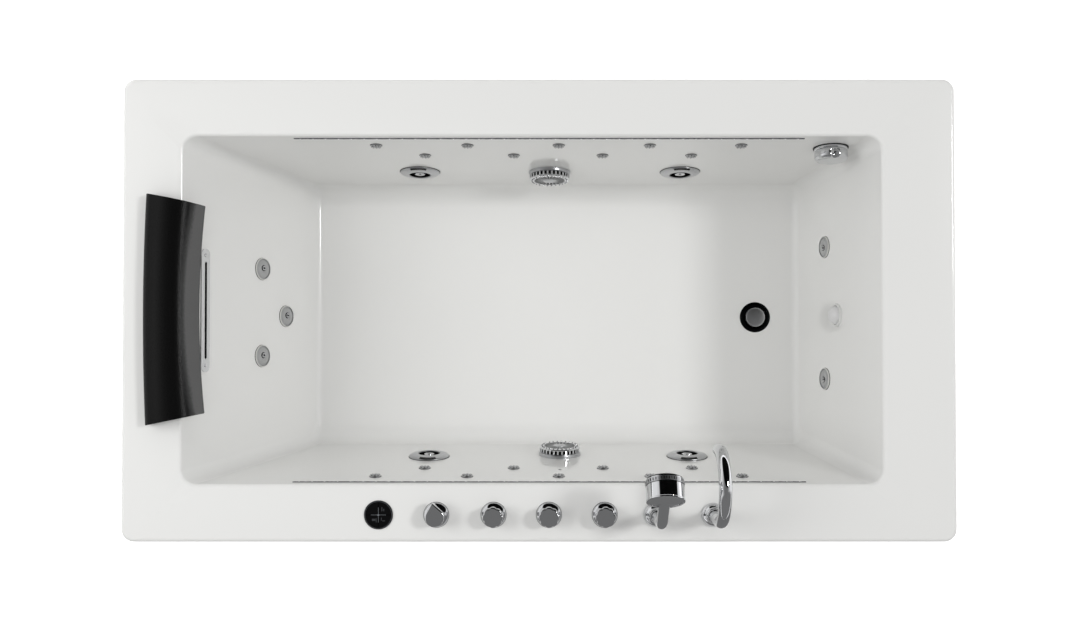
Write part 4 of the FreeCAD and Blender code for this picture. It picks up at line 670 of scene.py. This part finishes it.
add_piece("streamer_vanes", repeated(vane, around([outlet_place], 8)), white_abs, "spout")
collar = turned([(13.6, 24.4), (15.2, 24.4), (15.6, 25.4), (15.6, 28), (15, 29), (13.6, 29)], 48, SPOUT_PLACE)
add_piece("spout_collar", collar, chrome, "spout")


# Valve bodies: cast brass under the rim, each clamped by a hexagonal back nut and with a
# hexagonal tail for its supply.
brass, tree = new_material("cast_brass", Base_Color="#A98A52", Metallic=1.0)
cloud = clouded(tree, 0.004, 0.32, 0.5, detail=4.0)
bumped(tree, cloud, 0.2, 0.0003)
finish_node("valve_bodies", brass)
back_nuts = repeated(nut(46, 9), [spot @ moved(0, 0, -31) for spot in VALVE_PLACES])
add_piece("valve_back_nuts", back_nuts, brass, bevel=0.8 * MM)
tail_nuts = repeated(nut(27, 9), [spot @ moved(0, 0, -88) for spot in VALVE_PLACES])
add_piece("valve_tail_nuts", tail_nuts, brass, bevel=0.6 * MM)


# Pump: a moulded wet end bolted to a finned motor. The motor has a painted steel shell, a moulded
# fan cover with a grille at its end, and a terminal box on top.
glass_nylon, tree = new_material("glass_filled_nylon", Base_Color="#1A1B1D", IOR=1.53)
cloud = clouded(tree, 0.003, 0.42, 0.6, detail=4.0)
bumped(tree, cloud, 0.2, 0.0003)
motor_paint, tree = new_material("grey_stove_enamel", Base_Color="#3C4248", IOR=1.5, Coat_Weight=0.3,
                                 Coat_Roughness=0.2)
cloud = clouded(tree, 0.002, 0.34, 0.46, detail=3.0)
bumped(tree, cloud, 0.12, 0.0002)
finish_node("pump_volute", glass_nylon)
finish_node("pump_impeller", glass_nylon)
finish_node("pump_motor", motor_paint)
PUMP_X, TERMINAL_Y = -760, -128
PUMP_PLACE = moved(PUMP_X, -10, PUMP_AXIS, -90, "X")
flange = turned([(62.2, 4), (66, 4), (66.6, 3.4), (66.6, -3.4), (66, -4), (62.2, -4)], 72, PUMP_PLACE)
add_piece("pump_flange", flange, glass_nylon)
bolt = nut(8, 5, moved(64.4, 0, 4))
BOLT_TURN = 11.459
add_piece("pump_bolts", repeated(bolt, around([PUMP_PLACE @ moved(0, 0, 0, BOLT_TURN)], 10)),
          zinc, bevel=0.4 * MM)
fin = bar(4.6, 1.6, 112, moved(58.6, 0, -108))
# The fins leave room for the terminal box on top.
fin_turns = [PUMP_PLACE @ Matrix.Rotation(math.radians(angle), 4, "Z") for angle in range(-60, 241, 10)
             if not 55 < angle < 125]
add_piece("motor_fins", repeated(fin, fin_turns), motor_paint)
cover = turned([(57.4, -168), (60, -168.6), (60.6, -170), (60.6, -205), (57, -214), (50, -219.6),
                (46, -219.6), (46, -218.6), (52, -215.6), (57.4, -206)], 72, PUMP_PLACE)
add_piece("fan_cover", cover, glass_nylon)
fan_boss = turned([(0, -219.4), (0, -220.4), (8, -220.4), (8, -219.4)], 32, PUMP_PLACE)
add_piece("fan_cover_boss", fan_boss, glass_nylon)
spoke = bar(40, 2, 1.2, moved(27, 0, -219.6))
add_piece("fan_cover_spokes", repeated(spoke, around([PUMP_PLACE], 16)), glass_nylon)
for number, radius in enumerate((18, 28, 38), 1):
    hoop = turned([(radius, -219.2), (radius + 2, -219.2), (radius + 2, -220.4), (radius, -220.4)], 64,
                  PUMP_PLACE)
    add_piece("fan_cover_hoop_%d" % number, hoop, glass_nylon)
terminal = bar(46, 62, 26, moved(PUMP_X, TERMINAL_Y, 273))
add_piece("terminal_box", terminal, glass_nylon, bevel=3 * MM)
PAN_HEAD = [(0, 0), (3.4, 0), (3.2, 1.6), (1.4, 2.6), (0, 2.7)]
screw_spots = [moved(PUMP_X + x, TERMINAL_Y + y, 286) for x in (-18, 18) for y in (-26, 26)]
add_piece("terminal_screws", repeated(turned(PAN_HEAD, 16), screw_spots), zinc)
union = turned([(23.2, 34), (29, 34), (30, 35), (30, 50), (29, 51), (23.2, 51)], 64, PUMP_PLACE)
add_piece("pump_union", union, glass_nylon)
union_rib = bar(2.4, 3, 14, moved(30.2, 0, 42.5))
add_piece("pump_union_ribs", repeated(union_rib, around([PUMP_PLACE], 20)), glass_nylon)


# Blower and control box: moulded black cases on the tray. The blower has ribs and a flange round its
# side and a clip for its hose, and the box has a screwed lid.
finish_node("blower_housing", glass_nylon)
finish_node("blower_fan", glass_nylon)
finish_node("control_box", black_abs)
TRAY_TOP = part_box("equipment_tray")[1].z / MM
BLOWER_PLACE = moved(-760, -330, TRAY_TOP)
rib = bar(3, 2.4, 52, moved(71, 0, 42))
add_piece("blower_ribs", repeated(rib, around([BLOWER_PLACE], 36)), glass_nylon)
seam = turned([(70.2, 9), (73.4, 9), (74, 9.6), (74, 15.4), (73.4, 16), (70.2, 16)], 72, BLOWER_PLACE)
add_piece("blower_flange", seam, glass_nylon)
screw_spots = around([BLOWER_PLACE], 6, 62.5, 84.6)
add_piece("blower_screws", repeated(turned(PAN_HEAD, 16), screw_spots), zinc)
clip = turned([(13.2, 4), (15, 4), (15, 14), (13.2, 14)], 40, BLOWER_PLACE @ moved(-30, 0, 94))
add_piece("blower_hose_clip", clip, zinc)
case_low, case_high = (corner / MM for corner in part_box("control_box"))
lid = bar(58, 176, 6, moved(case_low.x + 30, case_low.y + 90, case_high.z + 2))
add_piece("box_lid", lid, black_abs, bevel=2 * MM)
lid_spots = [moved(case_low.x + x, case_low.y + y, case_high.z + 5) for x in (8, 52) for y in (10, 170)]
add_piece("box_screws", repeated(turned([(0, 0), (3, 0), (2.8, 1.4), (1.2, 2.2), (0, 2.3)], 16), lid_spots),
          zinc)


# The head rest: a black polyurethane bar moulded with a tough skin of fine matt grain. It is bent
# round the bather's neck, with a round crown and a steeper front face over the rim's edge. That front
# face is coloured paler as a painted sheen, for the light it catches.
polyurethane, tree = new_material("integral_skin_polyurethane", IOR=1.5, Specular_IOR_Level=0.16)
# The paler colour on the front face is a painted sheen; the speckle is the skin's own dark tone.
painted_sheen = add_node(tree, "ShaderNodeAttribute", attribute_name="painted_sheen_share")
speckle = textured(tree, "ShaderNodeTexNoise", 0.004, Detail=2.0)
SPECKLE_SHARE = 0.3
speckle_and_sheen = add_node(tree, "ShaderNodeMath", {1: SPECKLE_SHARE}, {0: (speckle, "Fac"), 2: (painted_sheen, "Fac")},
                   operation="MULTIPLY_ADD")
add_node(tree, "ShaderNodeValToRGB", sources={"Fac": (speckle_and_sheen, "Value")}, feeds="Base Color",
         stops=((0, "#060606"), (0.22, "#080808"), (0.7, "#404040"), (1, "#626262")))
# The grain's cells are about 0.8 mm across, drawn at 2.4 mm so that they show.
cells = textured(tree, "ShaderNodeTexVoronoi", 0.0024)
ranged(tree, cells, 0.24, 0.4, output="Distance")
bumped(tree, cells, 1.0, 0.0002, "Distance")

# One slice of the bar, as shares of its depth from back to front and of its height, from its front
# bottom edge round over the top to its back bottom edge.
REST_SLICE = ((0.99, 0.0), (1.0, 0.07), (0.965, 0.22), (0.905, 0.45), (0.84, 0.66), (0.79, 0.79),
              (0.74, 0.88), (0.68, 0.945), (0.61, 0.98), (0.52, 0.995), (0.43, 0.98), (0.35, 0.93),
              (0.27, 0.855), (0.19, 0.77), (0.11, 0.7), (0.05, 0.64), (0.01, 0.54), (0.0, 0.36),
              (0.0, 0.06), (0.02, 0.0))
rest_low, rest_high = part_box("pillow")
rest_middle = (rest_low + rest_high) / 2
rest_half = (rest_high.y - rest_low.y) / 2
REST_CUTS = 39
# In metres: how far the front is bowed and, by half of that, the back; how far each face stays inside
# the solid's box; and how much shorter the front edge is at each slanting end than the back edge.
REST_BOW, BACK_INSET, FRONT_INSET, REST_SLANT = 0.012, 0.003, 0.001, 0.025
# Where the painted sheen lies on the front face, in shares of the depth: where it starts at the middle,
# how much later it starts at the ends, and over how much it blends in; and in shares of the height,
# where it ends.
SHEEN_START, SHEEN_SAG, SHEEN_BLEND, SHEEN_FOOT = 0.72, 0.08, 0.12, 0.1
rest = bmesh.new()
painted_sheen_share = rest.verts.layers.float.new("painted_sheen_share")
slice_face = rest.faces.new([rest.verts.new((depth, -1, rise)) for depth, rise in REST_SLICE])
drawn = bmesh.ops.extrude_face_region(rest, geom=[slice_face])["geom"]
bmesh.ops.translate(rest, vec=(0, 2, 0), verts=[item for item in drawn
                                                if isinstance(item, bmesh.types.BMVert)])
long_edges = [edge for edge in rest.edges if abs(edge.verts[0].co.y - edge.verts[1].co.y) > 1]
bmesh.ops.subdivide_edges(rest, edges=long_edges, cuts=REST_CUTS, use_grid_fill=True)
# Each corner's share of the painted sheen rises from none on the crown to full on the front face.
for corner in rest.verts:
    depth, share, rise = corner.co
    blend = (depth - SHEEN_START - SHEEN_SAG * share ** 2) / SHEEN_BLEND
    corner[painted_sheen_share] = min(1.0, max(0.0, blend)) * min(1.0, rise / SHEEN_FOOT)
    back = rest_low.x + BACK_INSET + REST_BOW / 2 * share ** 2
    front = rest_high.x - FRONT_INSET - REST_BOW * (1 - share ** 2)
    corner.co = (back + (front - back) * depth, rest_middle.y + share * (rest_half - REST_SLANT * depth),
                 rest_low.z + (rest_high.z - rest_low.z) * rise)
head_rest = add_piece("head_rest", rest, polyurethane, "pillow", ["pillow"], bevel=0.003)


# The room: a white floor without a horizon, and plain studio light. The key lamp stands well off to
# the right of the bath and a little behind it, so shadows fall to the left. A broad fill lamp stands
# at its head end and a weak one hangs over it; mirrors don't see these two.
CAMERA_PLACE = (0.0019, -0.070, 3.100)
CAMERA_TIP = math.radians(0.99)
SENSOR_WIDTH = 36.0
PHOTO_WIDTH = 1080
FOCUS_PIXELS = 1160.7
camera = bpy.data.objects.new("camera", bpy.data.cameras.new("camera"))
camera.location = CAMERA_PLACE
camera.rotation_euler = (CAMERA_TIP, 0, 0)
camera.data.sensor_width = SENSOR_WIDTH
camera.data.lens = SENSOR_WIDTH * FOCUS_PIXELS / PHOTO_WIDTH
bpy.context.scene.collection.objects.link(camera)
bpy.context.scene.camera = camera
bpy.context.scene.view_settings.view_transform = "Standard"


LAMP_TARGET = Vector((0, 0, 0.5))


def add_lamp(name, turn, rise, distance, size, energy):
    """Add a square lamp at a turn and rise in degrees, which faces the middle of the bath."""
    light = bpy.data.lights.new(name, "AREA")
    light.size = size
    light.energy = energy
    towards = Matrix.Rotation(math.radians(turn), 3, "Z") @ Matrix.Rotation(-math.radians(rise), 3, "Y")
    towards = towards @ Vector((1, 0, 0))
    item = bpy.data.objects.new(name, light)
    item.location = towards * distance + LAMP_TARGET
    item.rotation_euler = towards.to_track_quat("Z", "Y").to_euler()
    item.visible_camera = False
    bpy.context.scene.collection.objects.link(item)


add_lamp("key_lamp", turn=13, rise=50, distance=9.0, size=1.4, energy=215)
add_lamp("fill_lamp", turn=174, rise=42, distance=4.0, size=2.0, energy=51)
add_lamp("top_lamp", turn=0, rise=90, distance=5.5, size=1.6, energy=20)
for name in ("fill_lamp", "top_lamp"):
    bpy.data.objects[name].visible_glossy = False

# The world lights evenly. Mirrors see a grey ceiling, white walls low down, a dark curtain behind the
# bath and a grey screen before it; the camera sees plain white.
world = bpy.data.worlds.new("studio")
world.use_nodes = True
bpy.context.scene.world = world
tree = world.node_tree
ray = add_node(tree, "ShaderNodeLightPath")
heading = add_node(tree, "ShaderNodeTexCoord")
parts = add_node(tree, "ShaderNodeSeparateXYZ", sources={"Vector": (heading, "Generated")})
ceiling = add_node(tree, "ShaderNodeValToRGB", sources={"Fac": (parts, "Z")},
                   stops=((0, "#FFFFFF"), (0.3, "#FFFFFF"), (0.9, "#7C7C7C")))
CURTAIN_WAY, CARD_WAY = (0.24, 0.80, 0.55), (0.1, -0.98, 0.15)
curtain_way = add_node(tree, "ShaderNodeVectorMath", {1: CURTAIN_WAY}, {0: (heading, "Generated")},
                       operation="DOT_PRODUCT")
curtain = add_node(tree, "ShaderNodeValToRGB", sources={"Fac": (curtain_way, "Value")},
                   stops=((0, "#FFFFFF"), (0.60, "#FFFFFF"), (0.65, "#0C0C0C")))
card_way = add_node(tree, "ShaderNodeVectorMath", {1: CARD_WAY}, {0: (heading, "Generated")},
                    operation="DOT_PRODUCT")
card = add_node(tree, "ShaderNodeValToRGB", sources={"Fac": (card_way, "Value")},
                stops=((0, "#FFFFFF"), (0.2, "#FFFFFF"), (0.34, "#808080")))
darkest = add_node(tree, "ShaderNodeMix", {"Factor": 1.0}, {"A": (ceiling, "Color"), "B": (curtain, "Color")},
                   data_type="RGBA", blend_type="MULTIPLY")
seen = add_node(tree, "ShaderNodeMix", {"Factor": 1.0}, {"A": (darkest, "Result"), "B": (card, "Color")},
                data_type="RGBA", blend_type="DARKEN")
even = tree.nodes["Background"]
even.inputs["Color"].default_value = linear("#FFFFFF")
even.inputs["Strength"].default_value = 0.47
mirrored = add_node(tree, "ShaderNodeBackground", {"Strength": 1.0}, {"Color": (seen, "Result")})
plain = add_node(tree, "ShaderNodeBackground", {"Color": linear("#FFFFFF"), "Strength": 1.0})
direct = add_node(tree, "ShaderNodeMath", sources={0: (ray, "Is Transmission Ray"),
                                                   1: (ray, "Is Glossy Ray")}, operation="MAXIMUM")
lit = add_node(tree, "ShaderNodeMixShader", sources={"Fac": (direct, "Value"), 1: (even, "Background"),
                                                     2: (mirrored, "Background")})
mixed = add_node(tree, "ShaderNodeMixShader", sources={"Fac": (ray, "Is Camera Ray"), 1: (lit, "Shader"),
                                                       2: (plain, "Background")})
tree.links.new(mixed.outputs["Shader"], tree.nodes["World Output"].inputs["Surface"])

FLOOR_SIDE = 24.0
floor_shape = bmesh.new()
bmesh.ops.create_grid(floor_shape, x_segments=1, y_segments=1, size=FLOOR_SIDE / 2)
floor_mesh = bpy.data.meshes.new("floor")
floor_shape.to_mesh(floor_mesh)
floor_shape.free()
floor_paint, tree = new_material("white_floor_paint", Base_Color="#F2F2F2", Roughness=0.7)
ray = add_node(tree, "ShaderNodeLightPath")
glow = add_node(tree, "ShaderNodeEmission", {"Strength": 0.86})
painted = add_node(tree, "ShaderNodeAddShader", sources={0: (tree.nodes["Principled BSDF"], "BSDF"),
                                                        1: (glow, "Emission")})
direct = add_node(tree, "ShaderNodeMath", sources={0: (ray, "Is Camera Ray"), 1: (ray, "Is Glossy Ray")},
                  operation="MAXIMUM")
clear = add_node(tree, "ShaderNodeMath", sources={0: (direct, "Value"), 1: (ray, "Is Transmission Ray")},
                 operation="MAXIMUM")
mixed = add_node(tree, "ShaderNodeMixShader", sources={"Fac": (clear, "Value"),
                                                       1: (tree.nodes["Principled BSDF"], "BSDF"),
                                                       2: (painted, "Shader")})
tree.links.new(mixed.outputs["Shader"], tree.nodes["Material Output"].inputs["Surface"])
floor_mesh.materials.append(floor_paint)
floor = bpy.data.objects.new("floor", floor_mesh)
bpy.context.scene.collection.objects.link(floor)

# A grey card lies before the bath, seen only by mirrors, so that the plated faces that look down at
# the floor stand out from the white rim.
CARD_SIZE = (8.0, 10.3)
CARD_MIDDLE = (0.2, -5.9, 0.01)
card_shape = bmesh.new()
bmesh.ops.create_grid(card_shape, x_segments=1, y_segments=1, size=0.5,
                      matrix=Matrix.Translation(CARD_MIDDLE) @ Matrix.Diagonal((*CARD_SIZE, 1, 1)))
card_mesh = bpy.data.meshes.new("grey_card")
card_shape.to_mesh(card_mesh)
card_shape.free()
card_board, tree = new_material("grey_card_board", Base_Color="#000000", Roughness=0.9,
                                Specular_IOR_Level=0.0, Emission_Color="#7C7C7C", Emission_Strength=1.0)
clouded(tree, 0.01, 0.85, 0.95)
card_mesh.materials.append(card_board)
grey_card = bpy.data.objects.new("grey_card", card_mesh)
grey_card.visible_camera = grey_card.visible_diffuse = grey_card.visible_shadow = False
bpy.context.scene.collection.objects.link(grey_card)
